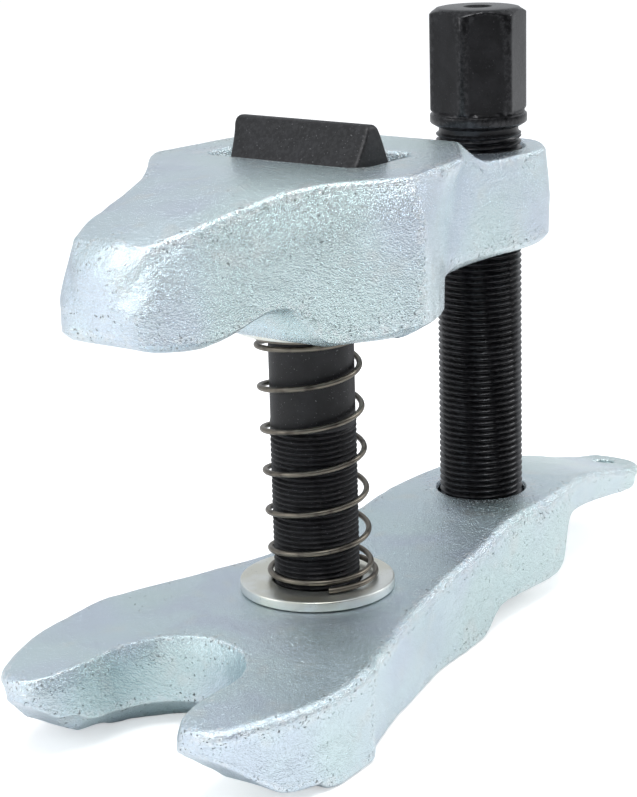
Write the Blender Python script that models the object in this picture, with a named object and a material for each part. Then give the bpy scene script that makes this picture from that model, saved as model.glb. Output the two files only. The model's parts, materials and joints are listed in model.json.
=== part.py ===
"""Ball joint separator: forged fork, lever, T-bolt with spring, and forcing spindle.

Units are metres, +Z is up, +X runs from the fork mouth to the hanging ear.
The object origin lies on the flat underside of the fork, on its centre line.
"""
import math

import bmesh
import bpy
from mathutils import Matrix, Vector

MM = 0.001

# ---------------------------------------------------------------- overall layout
BOLT_X = -34.0              # T-bolt axis from the origin
AXIS_GAP = 86.0             # T-bolt axis to spindle axis
SPINDLE_X = BOLT_X + AXIS_GAP
FORK_TOP = 27.5             # fork top face at the T-bolt, above the base plane
SEAT_TOP = FORK_TOP + 6.0   # fork top face around the spindle
LEVER_TOP = 149.5           # flat top of the lever
LEVER_BASE = 106.6          # flat bottom of the lever's centre block
EYE_TOP = 139.8             # top face of the lever's eye
EYE_BASE = 111.5            # underside of neck and eye

# ---------------------------------------------------------------- standard sizes
BOLT_R = 12.0               # M24 x 1.5 adjusting thread
SHANK_R = BOLT_R - 0.2      # plain shank above the thread
THREAD_TOP = 76.0           # upper end of the adjusting thread
SPINDLE_R = 12.7            # forcing thread, 1 in - 14
HEX_AF = 25.4               # spindle hexagon across flats
HEX_TURN = math.radians(12.7)
NUT_AF = 36.0               # adjusting nut across flats
WASHER_R = 21.7
WASHER_T = 2.85
MOUTH_R = 19.5              # half of the 39 mm mouth
MOUTH_RIM_R = MOUTH_R + 2.5
MOUTH_REACH = 65.5          # centre of the mouth's round end from the bolt axis
EAR_HOLE_R = 3.4
EAR_HOLE_REACH = 77.5       # hanging hole from the spindle axis

# ---------------------------------------------------------------- clearances
REST_GAP = 0.3              # gap left between two faces that rest on each other
BOLT_HOLE_PLAY = 1.6        # fork hole round the bolt, so that the bolt can lean
LEVER_HOLE_PLAY = 1.0       # lever slot round the bolt shank
EYE_PLAY = 0.5              # lever eye round the spindle crest
SOCKET_PLAY = 0.7           # fork socket round the spindle
WASHER_BORE_R = BOLT_R + 0.7

# ---------------------------------------------------------------- swivel and nut
SWIVEL_Z = FORK_TOP + 10.5  # centre of the spherical seat under the fork
SWIVEL_R = 26.0             # radius of the spherical seat
SWIVEL_RING_R = BOLT_R + 6.0  # outer radius of the swivel ring
RECESS_R = max(NUT_AF / math.sqrt(3.0), SWIVEL_RING_R) + 2.7
RING_BASE = FORK_TOP - 14.5
NUT_BASE = 2.0
BOLT_END = 1.5

# ---------------------------------------------------------------- T-head
HEAD_PIVOT_Z = LEVER_TOP - 3.0
HEAD_HALF_X = 8.5
HEAD_HALF_Y = 21.8
HEAD_RIDGE_Z = LEVER_TOP + 9.6
POCKET_HALF_Y = HEAD_HALF_Y + 2.4
POCKET_R = HEAD_HALF_X + 0.4  # round trough under the head
POCKET_BACK = POCKET_R + 7.6  # open rear part of the pocket

# ---------------------------------------------------------------- spindle foot
BALL_R = 6.0
PAD_BASE = 11.0
BALL_Z = PAD_BASE + 9.5
PAD_R = SPINDLE_R - 0.1
COLLAR_BASE = EYE_TOP + 6.2
COLLAR_R = SPINDLE_R + 1.7
HEX_BASE = COLLAR_BASE + 4.2
HEX_LENGTH = 30.8
HEX_TOP = HEX_BASE + HEX_LENGTH

# ---------------------------------------------------------------- spring
SPRING_WIRE_R = 0.8
SPRING_R_MID = BOLT_R + 1.9
SPRING_R_END = BOLT_R + 3.6
SPRING_TURNS = 8
SPRING_START = math.radians(-137.0)
SPRING_BASE = FORK_TOP + REST_GAP + WASHER_T + REST_GAP + SPRING_WIRE_R
UPPER_WASHER_Z = LEVER_BASE - REST_GAP - WASHER_T
SPRING_TOP = UPPER_WASHER_Z - REST_GAP - SPRING_WIRE_R

# Station tables are drawn for this axis gap; station_x() fits them to AXIS_GAP.
TABLE_GAP = 86.0
FORK_NECK = (0.0, 52.0)     # part of the fork that takes up a change of the gap
LEVER_NECK = (29.0, 62.0)   # part of the lever that takes it up

# Fork: x from the bolt axis, half width, top from FORK_TOP, bottom as a share of the top.
FORK_STATIONS = (
    (-93.1, 31.6, -3.1, 0.8279), (-92.3, 34.2, -2.7, 0.7742), (-90.6, 36.4, -2.3, 0.7063),
    (-87.5, 38.6, -2.1, 0.6142), (-84, 40.3, -1.9, 0.4922), (-80, 42, -1.8, 0.3502),
    (-76, 43.6, -1.8, 0.2257), (-72, 45.2, -1.7, 0.1473), (-66, 46.9, -1.7, 0.1163),
    (-62, 47.6, -1.7, 0.1085), (-58.5, 47.9, -1.6, 0.0347), (-54, 48, -1.5, 0),
    (-46, 47.6, -0.9, 0), (-40, 46.9, -0.4, 0), (-34, 45.6, -0.1, 0), (-28, 43.6, 0, 0),
    (-20, 40.4, 0, 0), (-10, 36.8, 0, 0), (0, 33.8, 0, 0), (10, 31, 0, 0), (20, 28.8, 0.2, 0),
    (30, 27.5, 0.9, 0), (40, 26.6, 1.7, 0), (47, 26, 2.4, 0),
)

# Ear: x from the bolt axis, half width, top from SEAT_TOP, bottom as a share of the top.
EAR_STATIONS = (
    (52, 25.5, -2.9, 0.0392), (57, 25, -2.1, 0.1529), (61, 24.8, -1.3, 0.205),
    (66, 24.6, -0.5, 0.2091), (72, 24.6, 0, 0.2), (80, 24.7, 0, 0.191), (88, 24.5, 0, 0.1821),
    (94, 24, 0, 0.1791), (98, 23.5, 0, 0.2209), (101, 22.9, 0, 0.3582),
    (103.5, 22.3, -0.1, 0.5389), (106, 21.7, -0.3, 0.6205), (110, 20.8, -0.7, 0.6463),
    (118, 19.3, -1.8, 0.6562), (126, 18, -3.3, 0.649), (134, 16.6, -5.1, 0.6373),
    (142, 15, -7.1, 0.6212), (150, 13.4, -9.3, 0.6116), (158, 12.4, -11.3, 0.6036),
    (165, 11.6, -12.7, 0.6058), (170, 9.6, -13.3, 0.6139), (172.8, 6.2, -13.7, 0.6465),
)

# Lever nose and block: x from the bolt axis, half width at the top and at the bottom, top
# and bottom as shares of the block's height, bottom chamfer width and height.
BLOCK_STATIONS = (
    (-89.6, 6, 9, 0.6154, 0.303, 1.5, 1.2), (-89, 8.4, 11.8, 0.6713, 0.2611, 2, 1.4),
    (-87.4, 10.8, 14.2, 0.7226, 0.2238, 2.4, 1.4), (-85, 12.6, 16, 0.7692, 0.2005, 2.6, 1.4),
    (-82, 14.2, 17.6, 0.8019, 0.1865, 2.8, 1.4), (-78, 15.4, 18.9, 0.8252, 0.1725, 3, 1.4),
    (-73, 16.6, 20.2, 0.8462, 0.1608, 3.2, 1.4), (-68, 17.6, 21.2, 0.8671, 0.1538, 3.4, 1.4),
    (-62, 18.4, 22, 0.8928, 0.1632, 3.6, 1.4), (-56, 19.2, 22.8, 0.9184, 0.1958, 4, 1.4),
    (-50, 20.8, 24.4, 0.9464, 0.2424, 4.5, 1.4), (-45, 22.2, 26, 0.9674, 0.2611, 5, 1.4),
    (-40, 24, 27.8, 0.9837, 0.2471, 5.5, 1.4), (-35, 26.8, 30.2, 0.993, 0.1865, 6, 1.4),
    (-30, 30, 33.2, 0.9977, 0.0886, 6.5, 1.6), (-26, 33, 36, 1, 0.0233, 7, 1.8),
    (-22, 36.2, 39.4, 1, 0.0023, 7.5, 2.4), (-19, 38.6, 42, 1, 0, 8, 3.2),
    (-16, 40.9, 44.5, 1, 0, 8.6, 3.8), (-13.5, 41.9, 45.6, 1, 0, 9, 4.2),
    (-11, 41.9, 45.3, 1, 0, 9, 4), (-4, 41.4, 43, 1, 0, 8, 3), (4, 40.6, 39.4, 1, 0, 7, 2.4),
    (12, 39.8, 34.6, 1, 0, 5.5, 2), (17, 38.8, 31, 1, 0.0047, 4.5, 1.8),
    (20, 37.4, 28.8, 1, 0.0186, 4, 1.8), (24, 34.6, 26, 1, 0.0559, 3.6, 1.8),
    (29, 31, 23.4, 0.9977, 0.0979, 3.2, 1.8), (34, 27.2, 21.6, 0.9953, 0.1119, 2.8, 1.8),
    (39, 23.6, 20.6, 0.9907, 0.1142, 2.6, 1.8), (43, 20.9, 20, 0.9814, 0.1142, 2.4, 1.8),
    (46.5, 19.2, 19.7, 0.9627, 0.1142, 2.2, 1.8),
)

# Lever eye: the same, with top and bottom as shares of the eye's height.
EYE_STATIONS = (
    (50, 18.3, 19.5, 1.2332, 0, 2, 1.8), (54, 17.9, 19.4, 1.1555, 0, 2, 1.8),
    (58, 17.8, 19.3, 1.0777, 0, 2, 1.8), (62, 17.9, 19.4, 1.0247, 0, 2, 1.8),
    (66, 18.2, 19.6, 1.0035, 0, 2, 1.8), (71, 18.9, 20.2, 1, 0, 2, 1.8),
    (77, 19.5, 20.8, 1, 0, 2, 1.8), (84, 19.8, 21.1, 1, 0, 2, 1.8), (90, 19.4, 20.7, 1, 0, 2, 1.8),
    (95, 17.9, 19.1, 1, 0, 2, 1.8), (99, 15.4, 16.5, 1, 0, 2, 1.8),
    (102.5, 12, 13, 0.9965, 0.0035, 1.8, 1.8), (105, 8.2, 9.2, 0.9894, 0.0106, 1.5, 1.5),
    (106.6, 3.8, 4.6, 0.9682, 0.0318, 1, 1),
)

# Spring coil heights at whole turns, as a share of the spring's length.
SPRING_RISE = (0.0, 0.027, 0.150, 0.312, 0.477, 0.648, 0.816, 0.967, 1.0)


# ---------------------------------------------------------------- helpers
def clear_scene():
    for obj in list(bpy.data.objects):
        bpy.data.objects.remove(obj, do_unlink=True)


def add_object(name, bm, origin=(0.0, 0.0, 0.0), smooth_angle=35.0):
    """Turn a bmesh in millimetres into a named object with its origin at `origin`."""
    bmesh.ops.remove_doubles(bm, verts=bm.verts, dist=0.001)
    bmesh.ops.recalc_face_normals(bm, faces=bm.faces)
    shift = Vector(origin)
    for vert in bm.verts:
        vert.co = (vert.co - shift) * MM
    mesh = bpy.data.meshes.new(name)
    bm.to_mesh(mesh)
    bm.free()
    for poly in mesh.polygons:
        poly.use_smooth = True
    mesh.set_sharp_from_angle(angle=math.radians(smooth_angle))
    obj = bpy.data.objects.new(name, mesh)
    obj.location = shift * MM
    bpy.context.scene.collection.objects.link(obj)
    return obj


def skin(bm, rings, cap=True):
    """Join equal-length closed rings of points into one closed tube."""
    rows = [[bm.verts.new(p) for p in ring] for ring in rings]
    count = len(rows[0])
    for a, b in zip(rows, rows[1:]):
        for i in range(count):
            j = (i + 1) % count
            bm.faces.new((a[i], a[j], b[j], b[i]))
    if cap:
        bm.faces.new(rows[0])
        bm.faces.new(list(reversed(rows[-1])))


def revolve(bm, profile, centre=(0.0, 0.0), segments=64, turn=0.0):
    """Closed body of revolution about a vertical axis; profile is (radius, z) top to bottom."""
    rows = []
    for radius, z in profile:
        if radius < 1e-6:
            rows.append([bm.verts.new((centre[0], centre[1], z))])
            continue
        row = []
        for i in range(segments):
            a = turn + 2.0 * math.pi * i / segments
            row.append(bm.verts.new((centre[0] + radius * math.cos(a),
                                     centre[1] + radius * math.sin(a), z)))
        rows.append(row)
    for a, b in zip(rows, rows[1:]):
        for i in range(segments):
            j = (i + 1) % segments
            if len(a) == 1 and len(b) == 1:
                continue
            if len(a) == 1:
                bm.faces.new((a[0], b[i], b[j]))
            elif len(b) == 1:
                bm.faces.new((a[i], b[0], a[j]))
            else:
                bm.faces.new((a[i], b[i], b[j], a[j]))


def ring_body(bm, profile, centre, segments=64, turn=0.0):
    """Closed ring of revolution; profile is a closed loop of (radius, z)."""
    loops = []
    for i in range(segments):
        a = turn + 2.0 * math.pi * i / segments
        loops.append([bm.verts.new((centre[0] + r * math.cos(a), centre[1] + r * math.sin(a), z))
                      for r, z in profile])
    count = len(profile)
    for i in range(segments):
        a, b = loops[i], loops[(i + 1) % segments]
        for k in range(count):
            m = (k + 1) % count
            bm.faces.new((a[k], a[m], b[m], b[k]))


def prism(bm, outline, z0, z1, grow0=None):
    """Upright prism over a closed outline; `grow0` is an optional outline for the bottom."""
    low = grow0 if grow0 is not None else outline
    skin(bm, [[(x, y, z0) for x, y in low], [(x, y, z1) for x, y in outline]])


def arc(cx, cy, radius, start, end, steps):
    """Points on an arc in a plane, angles in degrees."""
    pts = []
    for i in range(steps + 1):
        a = math.radians(start + (end - start) * i / steps)
        pts.append((cx + radius * math.cos(a), cy + radius * math.sin(a)))
    return pts


def tool(name, bm):
    """Closed cutting body in millimetres, made into a hidden object."""
    obj = add_object(name, bm)
    obj.hide_render = True
    obj.display_type = 'WIRE'
    return obj


def carve(obj, cutters, operation='DIFFERENCE'):
    """Apply exact Booleans to `obj` one after another and remove the cutters."""
    for cutter in cutters:
        mod = obj.modifiers.new("cut", 'BOOLEAN')
        mod.operation = operation
        mod.solver = 'EXACT'
        mod.object = cutter
        graph = bpy.context.evaluated_depsgraph_get()
        mesh = bpy.data.meshes.new_from_object(obj.evaluated_get(graph))
        obj.modifiers.clear()
        old = obj.data
        obj.data = mesh
        bpy.data.meshes.remove(old)
        bpy.data.objects.remove(cutter, do_unlink=True)
        bm = bmesh.new()
        bm.from_mesh(obj.data)
        bmesh.ops.remove_doubles(bm, verts=bm.verts, dist=2e-6)
        bmesh.ops.dissolve_degenerate(bm, dist=2e-6, edges=bm.edges)
        bmesh.ops.triangulate(bm, faces=bm.faces)
        bm.to_mesh(obj.data)
        bm.free()
    obj.data.name = obj.name
    for poly in obj.data.polygons:
        poly.use_smooth = True
    obj.data.set_sharp_from_angle(angle=math.radians(35.0))
    return obj


def finish(obj, name, colour, metallic, roughness):
    """Give a piece its own plain Principled material."""
    mat = bpy.data.materials.new(name)
    mat.use_nodes = True
    shader = mat.node_tree.nodes["Principled BSDF"]
    shader.inputs["Base Color"].default_value = (*colour, 1.0)
    shader.inputs["Metallic"].default_value = metallic
    shader.inputs["Roughness"].default_value = roughness
    obj.data.materials.clear()
    obj.data.materials.append(mat)
    return obj


ZINC = (0.62, 0.68, 0.70)
WARM_ZINC = (0.66, 0.66, 0.60)
BLACK = (0.015, 0.015, 0.017)
STEEL = (0.16, 0.15, 0.13)


def station_x(x, neck):
    """Place of a table station: the neck stretches or shrinks with the axis gap."""
    share = min(1.0, max(0.0, (x - neck[0]) / (neck[1] - neck[0])))
    return BOLT_X + x + share * (AXIS_GAP - TABLE_GAP)


# ---------------------------------------------------------------- fork
def fork_section(x, w, top, base, edge):
    """Rounded-box section of the fork across Y, walls leaning in a little at the bottom."""
    foot = w - 1.2
    r = min(edge, 0.35 * (top - base), 0.4 * w)
    half = []
    half += [(w - r + dx, top - r + dz) for dx, dz in arc(0, 0, r, 90, 0, 4)]
    half += [(foot - r * 0.6 + dx, base + r * 0.6 + dz)
             for dx, dz in arc(0, 0, r * 0.6, 0, -90, 3)]
    right = [(x, -y, z) for y, z in half]
    left = [(x, y, z) for y, z in reversed(half)]
    return right + left


def mouth_outline(radius):
    """U-shaped mouth open toward -X, widening and then flaring at the two tips."""
    cx = BOLT_X - MOUTH_REACH
    pts = arc(cx, 0.0, radius, -90, 90, 24)
    side = [(BOLT_X + x + 0.08 * (radius - MOUTH_R), radius + grow) for x, grow in
            ((-72.0, 0.3), (-78.0, 1.0), (-84.0, 2.0), (-88.0, 3.0), (-90.6, 4.4),
             (-92.4, 6.6), (-93.8, 10.5), (-104.0, 14.0))]
    return pts + side + [(x, -y) for x, y in reversed(side)]


def build_fork():
    bm = bmesh.new()
    rows = [(x, w, FORK_TOP + top, base) for x, w, top, base in FORK_STATIONS]
    rows += [(x, w, SEAT_TOP + top, base) for x, w, top, base in EAR_STATIONS]
    skin(bm, [fork_section(station_x(x, FORK_NECK), w, top, top * base, 2.6)
              for x, w, top, base in rows])
    fork = add_object("lower_fork", bm)

    cutters = []
    bm = bmesh.new()
    prism(bm, mouth_outline(MOUTH_R), -5.0, FORK_TOP + 8.0)
    cutters.append(tool("cut_mouth", bm))
    bm = bmesh.new()
    prism(bm, mouth_outline(MOUTH_RIM_R + 2.1), FORK_TOP - 6.0, FORK_TOP + 2.0,
          mouth_outline(MOUTH_R - 0.3))
    cutters.append(tool("cut_mouth_rim", bm))
    bm = bmesh.new()
    prism(bm, mouth_outline(MOUTH_R - 0.3), -3.0, 6.0, mouth_outline(MOUTH_R + 10.5))
    for vert in bm.verts:
        vert.co.z += 0.22 * max(0.0, BOLT_X - 58.0 - vert.co.x)
    cutters.append(tool("cut_mouth_relief", bm))

    bm = bmesh.new()
    revolve(bm, [(0.0, FORK_TOP + 9.0), (BOLT_R + BOLT_HOLE_PLAY, FORK_TOP + 9.0),
                 (BOLT_R + BOLT_HOLE_PLAY, RING_BASE - 3.0), (0.0, RING_BASE - 3.0)],
            (BOLT_X, 0.0), 64)
    cutters.append(tool("cut_bolt_hole", bm))
    # The recess ceiling is a ring of the swivel sphere, so the ring can rock on it.
    seat = []
    for i in range(7):
        r = BOLT_R + BOLT_HOLE_PLAY - 0.6 + (SWIVEL_RING_R + 0.6 - BOLT_R - BOLT_HOLE_PLAY) * i / 6
        seat.append((r, SWIVEL_Z - math.sqrt(SWIVEL_R ** 2 - r ** 2)))
    outer = seat[-1]
    bm = bmesh.new()
    revolve(bm, [(0.0, seat[0][1])] + seat +
            [(outer[0] + 1.0, outer[1] + 0.6), (RECESS_R - 1.0, outer[1] + 0.6),
             (RECESS_R, outer[1] - 0.4), (RECESS_R, -2.0), (0.0, -2.0)], (BOLT_X, 0.0), 64)
    cutters.append(tool("cut_nut_recess", bm))

    bm = bmesh.new()
    socket = SPINDLE_R + SOCKET_PLAY
    revolve(bm, [(0.0, SEAT_TOP + 6.0), (socket + 6.4, SEAT_TOP + 6.0),
                 (socket + 0.4, SEAT_TOP), (socket, SEAT_TOP - 0.5),
                 (socket, PAD_BASE - REST_GAP), (0.0, PAD_BASE - REST_GAP)],
            (SPINDLE_X, 0.0), 64)
    cutters.append(tool("cut_socket", bm))

    bm = bmesh.new()
    revolve(bm, [(0.0, 40.0), (EAR_HOLE_R, 40.0), (EAR_HOLE_R, 5.0), (0.0, 5.0)],
            (SPINDLE_X + EAR_HOLE_REACH, 0.0), 32)
    cutters.append(tool("cut_ear_hole", bm))
    carve(fork, cutters)
    return finish(fork, "lower_fork", ZINC, 0.9, 0.42)


# ---------------------------------------------------------------- lever
def lever_section(x, wt, wb, top, base, cw, ch):
    """Lever section across Y: crowned top edge, drafted side, chamfered bottom."""
    r = min(3.2, 0.3 * (top - base), 0.45 * wt)
    half = [(0.33 * (wt - r), top), (0.7 * (wt - r), top)]
    half += [(wt - r + dx, top - r + dz) for dx, dz in arc(0, 0, r, 90, 8, 4)]
    mid = 0.5 * (top + base)
    half.append((wt + (wb - wt) * 0.62, mid))
    q = min(2.0, 0.25 * (top - base))
    half.append((wb, base + ch + q))
    half.append((wb - 0.5 * q, base + ch))
    half.append((wb - 0.5 * q - 0.85 * (cw - 0.5 * q), base + 0.15 * ch))
    half.append((wb - cw - 0.8, base))
    half.append((0.45 * (wb - cw), base))
    right = [(x, -y, z) for y, z in half]
    left = [(x, y, z) for y, z in reversed(half)]
    return right + left


def build_lever():
    origin = (BOLT_X, 0.0, HEAD_PIVOT_Z)
    bm = bmesh.new()
    rings = []
    for table, low, high in ((BLOCK_STATIONS, LEVER_BASE, LEVER_TOP),
                             (EYE_STATIONS, EYE_BASE, EYE_TOP)):
        for x, wt, wb, top, base, cw, ch in table:
            rings.append(lever_section(station_x(x, LEVER_NECK), wt, wb,
                                       low + top * (high - low), low + base * (high - low),
                                       cw, ch))
    skin(bm, rings)
    lever = add_object("lever_arm", bm)

    cutters = []
    # Pocket: round trough for the T-head, open to the rear so the head can be slid in.
    bm = bmesh.new()
    trough = arc(0.0, 0.0, POCKET_R, 180, 270, 8) + arc(POCKET_BACK - POCKET_R, 0.0, POCKET_R,
                                                       270, 360, 8)
    section = [(BOLT_X + x, HEAD_PIVOT_Z + z) for x, z in trough]
    section = [(BOLT_X - POCKET_R - 1.4, LEVER_TOP + 6.0), (BOLT_X - POCKET_R - 1.4, LEVER_TOP),
               (BOLT_X - POCKET_R, LEVER_TOP - 1.6)] + section[1:-1]
    section += [(BOLT_X + POCKET_BACK, LEVER_TOP - 1.6), (BOLT_X + POCKET_BACK + 1.4, LEVER_TOP),
                (BOLT_X + POCKET_BACK + 1.4, LEVER_TOP + 6.0)]
    rings = []
    for y, pull in ((-POCKET_HALF_Y - 0.6, 3.2), (-POCKET_HALF_Y, 1.3), (-POCKET_HALF_Y + 1.2, 0.0),
                    (POCKET_HALF_Y - 1.2, 0.0), (POCKET_HALF_Y, 1.3), (POCKET_HALF_Y + 0.6, 3.2)):
        middle = BOLT_X + 0.5 * (POCKET_BACK - POCKET_R)
        half = 0.5 * (POCKET_BACK + POCKET_R)
        rings.append([(middle + (x - middle) * (half - pull) / half, y, z) for x, z in section])
    skin(bm, rings)
    cutters.append(tool("cut_pocket", bm))

    bm = bmesh.new()
    hole = SHANK_R + LEVER_HOLE_PLAY
    revolve(bm, [(0.0, LEVER_TOP - 3.0), (hole, LEVER_TOP - 3.0), (hole, LEVER_BASE - 4.0),
                 (0.0, LEVER_BASE - 4.0)], (BOLT_X, 0.0), 64)
    cutters.append(tool("cut_bolt_slot", bm))

    bm = bmesh.new()
    eye = SPINDLE_R + EYE_PLAY
    revolve(bm, [(0.0, EYE_TOP + 9.0), (eye + 1.0, EYE_TOP + 9.0), (eye + 1.0, EYE_TOP),
                 (eye, EYE_TOP - 1.0), (eye, EYE_BASE + 1.0), (eye + 1.0, EYE_BASE),
                 (eye + 1.0, EYE_BASE - 3.0), (0.0, EYE_BASE - 3.0)], (SPINDLE_X, 0.0), 64)
    cutters.append(tool("cut_eye", bm))
    carve(lever, cutters)

    lever.data.transform(Matrix.Translation(-Vector(origin) * MM))
    lever.location = Vector(origin) * MM
    return finish(lever, "lever_arm", ZINC, 0.9, 0.42)


# ---------------------------------------------------------------- T-bolt
def build_tie_bolt():
    origin = (BOLT_X, 0.0, SWIVEL_Z)
    bm = bmesh.new()
    revolve(bm, [(0.0, HEAD_PIVOT_Z - 2.0), (SHANK_R, HEAD_PIVOT_Z - 2.0),
                 (SHANK_R, THREAD_TOP), (SHANK_R - 0.8, THREAD_TOP - 0.8),
                 (SHANK_R - 0.8, THREAD_TOP - 1.6), (BOLT_R, THREAD_TOP - 2.8),
                 (BOLT_R, BOLT_END + 1.6), (BOLT_R - 1.6, BOLT_END), (0.0, BOLT_END)],
            (BOLT_X, 0.0), 64)
    bolt = add_object("tie_bolt", bm)

    # Head: round underside, sides closing to a rounded ridge, ends sloped inward at the top.
    under = HEAD_HALF_X
    ridge = 3.0
    profile = arc(0.0, 0.0, under, 180, 360, 12)
    rise = HEAD_RIDGE_Z - HEAD_PIVOT_Z
    profile += [(under - 0.5, 2.6), (under - 1.6, 5.4), (ridge + 1.5, rise - 2.6)]
    profile += [(ridge * math.cos(math.radians(a)), rise - ridge * 0.75
                 + ridge * 0.75 * math.sin(math.radians(a))) for a in (20, 50, 90, 130, 160)]
    profile += [(-ridge - 1.5, rise - 2.6), (-under + 1.6, 5.4), (-under + 0.5, 2.6)]
    bm = bmesh.new()
    rings = []
    for side in (-1.0, 1.0):
        rings.append([(BOLT_X + x, side * (HEAD_HALF_Y - 0.16 * max(0.0, z + 2.0)),
                       HEAD_PIVOT_Z + z) for x, z in profile])
    skin(bm, rings)
    carve(bolt, [tool("head", bm)], 'UNION')
    bolt.data.transform(Matrix.Translation(-Vector(origin) * MM))
    bolt.location = Vector(origin) * MM
    return finish(bolt, "tie_bolt", BLACK, 0.25, 0.6)


def build_washer(name, base):
    bm = bmesh.new()
    top = base + WASHER_T
    ring_body(bm, [(WASHER_BORE_R, base), (WASHER_R - 0.5, base), (WASHER_R, base + 0.5),
                   (WASHER_R, top - 0.5), (WASHER_R - 0.5, top), (WASHER_BORE_R, top)],
              (BOLT_X, 0.0), 72)
    return finish(add_object(name, bm), name, WARM_ZINC, 0.9, 0.35)


def spring_share(turns):
    """Height share at a number of turns, by a smooth curve through SPRING_RISE."""
    table = SPRING_RISE
    k = min(int(turns), len(table) - 2)
    t = turns - k
    slope = [0.0] * len(table)
    slope[0], slope[-1] = table[1] - table[0], table[-1] - table[-2]
    for i in range(1, len(table) - 1):
        slope[i] = 0.5 * (table[i + 1] - table[i - 1])
    slope[1], slope[-2] = 0.06, 0.09
    h00, h10 = 2 * t ** 3 - 3 * t ** 2 + 1, t ** 3 - 2 * t ** 2 + t
    h01, h11 = -2 * t ** 3 + 3 * t ** 2, t ** 3 - t ** 2
    return h00 * table[k] + h10 * slope[k] + h01 * table[k + 1] + h11 * slope[k + 1]


def build_spring():
    """Right-hand compression spring with closed, slightly wider end coils."""
    bm = bmesh.new()
    steps = SPRING_TURNS * 24
    rings = []
    for i in range(steps + 1):
        turns = SPRING_TURNS * i / steps
        ends = min(turns, SPRING_TURNS - turns)
        z = SPRING_BASE + (SPRING_TOP - SPRING_BASE) * spring_share(turns)
        blend = max(0.0, 1.0 - ends / 1.6)
        radius = SPRING_R_MID + (SPRING_R_END - SPRING_R_MID) * blend * blend
        a = SPRING_START + 2.0 * math.pi * turns
        out = Vector((math.cos(a), math.sin(a), 0.0))
        centre = Vector((BOLT_X, 0.0, z)) + out * radius
        ring = []
        for k in range(8):
            b = 2.0 * math.pi * k / 8
            ring.append(centre + (out * math.cos(b) + Vector((0, 0, 1)) * math.sin(b))
                        * SPRING_WIRE_R)
        rings.append(ring)
    skin(bm, rings)
    return finish(add_object("compression_spring", bm), "compression_spring", STEEL, 0.85, 0.4)


def build_swivel():
    """Dished ring between the fork's spherical seat and the nut."""
    bm = bmesh.new()
    inner = BOLT_R + 0.5
    face = SWIVEL_R + REST_GAP
    top = []
    for i in range(6):
        r = inner + 0.6 + (SWIVEL_RING_R - inner - 0.6) * i / 5
        top.append((r, SWIVEL_Z - math.sqrt(face ** 2 - r ** 2)))
    profile = [(inner, RING_BASE), (SWIVEL_RING_R - 0.6, RING_BASE),
               (SWIVEL_RING_R, RING_BASE + 0.6)] + list(reversed(top))
    profile += [(inner, top[0][1] - 0.2)]
    ring_body(bm, profile, (BOLT_X, 0.0), 64)
    ring = add_object("swivel_ring", bm, (BOLT_X, 0.0, SWIVEL_Z))
    return finish(ring, "swivel_ring", STEEL, 0.8, 0.4)


def hex_points(af, turn, centre):
    r = af / math.sqrt(3.0)
    return [(centre[0] + r * math.cos(turn + math.pi * k / 3),
             centre[1] + r * math.sin(turn + math.pi * k / 3)) for k in range(6)]


def hex_cone(bm, af, turn, centre, z0, z1, cut_top, cut_base):
    """Closed hexagon with round chamfers; cut_* are the chamfer radii of each end."""
    r = af / math.sqrt(3.0)
    rows = []
    steps = 8
    angles = []
    for k in range(6):
        for s in range(steps):
            angles.append((k, s / steps))

    def corner_radius(s):
        return 0.5 * af / math.cos(math.radians(-30.0 + 60.0 * s))

    def row(radius_limit, z_edge, sign):
        pts = []
        for k, s in angles:
            rad = corner_radius(s)
            a = turn + math.pi * k / 3 + math.radians(60.0) * s
            pts.append((rad, a, z_edge + sign * max(0.0, rad - radius_limit) * 0.577))
        return pts

    top_flat, base_flat = min(cut_top, 0.5 * af - 0.2), min(cut_base, 0.5 * af - 0.2)
    lower, upper = row(base_flat, z0, 1.0), row(top_flat, z1, -1.0)
    rows.append([(base_flat, a, z0) for _, a, _ in lower])
    rows.append(lower)
    rows.append(upper)
    rows.append([(top_flat, a, z1) for _, a, _ in upper])
    rings = [[(centre[0] + rad * math.cos(a), centre[1] + rad * math.sin(a), z)
              for rad, a, z in ring] for ring in rows]
    skin(bm, rings)
    return r


def build_nut():
    top = RING_BASE - REST_GAP
    bm = bmesh.new()
    hex_cone(bm, NUT_AF, 0.0, (BOLT_X, 0.0), NUT_BASE, top,
             0.5 * NUT_AF - 1.0, 0.5 * NUT_AF - 1.0)
    nut = add_object("adjusting_nut", bm)
    bm = bmesh.new()
    bore = BOLT_R + 0.3
    revolve(bm, [(0.0, top + 3.0), (bore + 1.0, top + 3.0), (bore + 1.0, top), (bore, top - 1.0),
                 (bore, NUT_BASE + 1.0), (bore + 1.0, NUT_BASE), (bore + 1.0, NUT_BASE - 3.0),
                 (0.0, NUT_BASE - 3.0)], (BOLT_X, 0.0), 64)
    carve(nut, [tool("cut_nut", bm)])
    return finish(nut, "adjusting_nut", STEEL, 0.7, 0.45)


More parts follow.
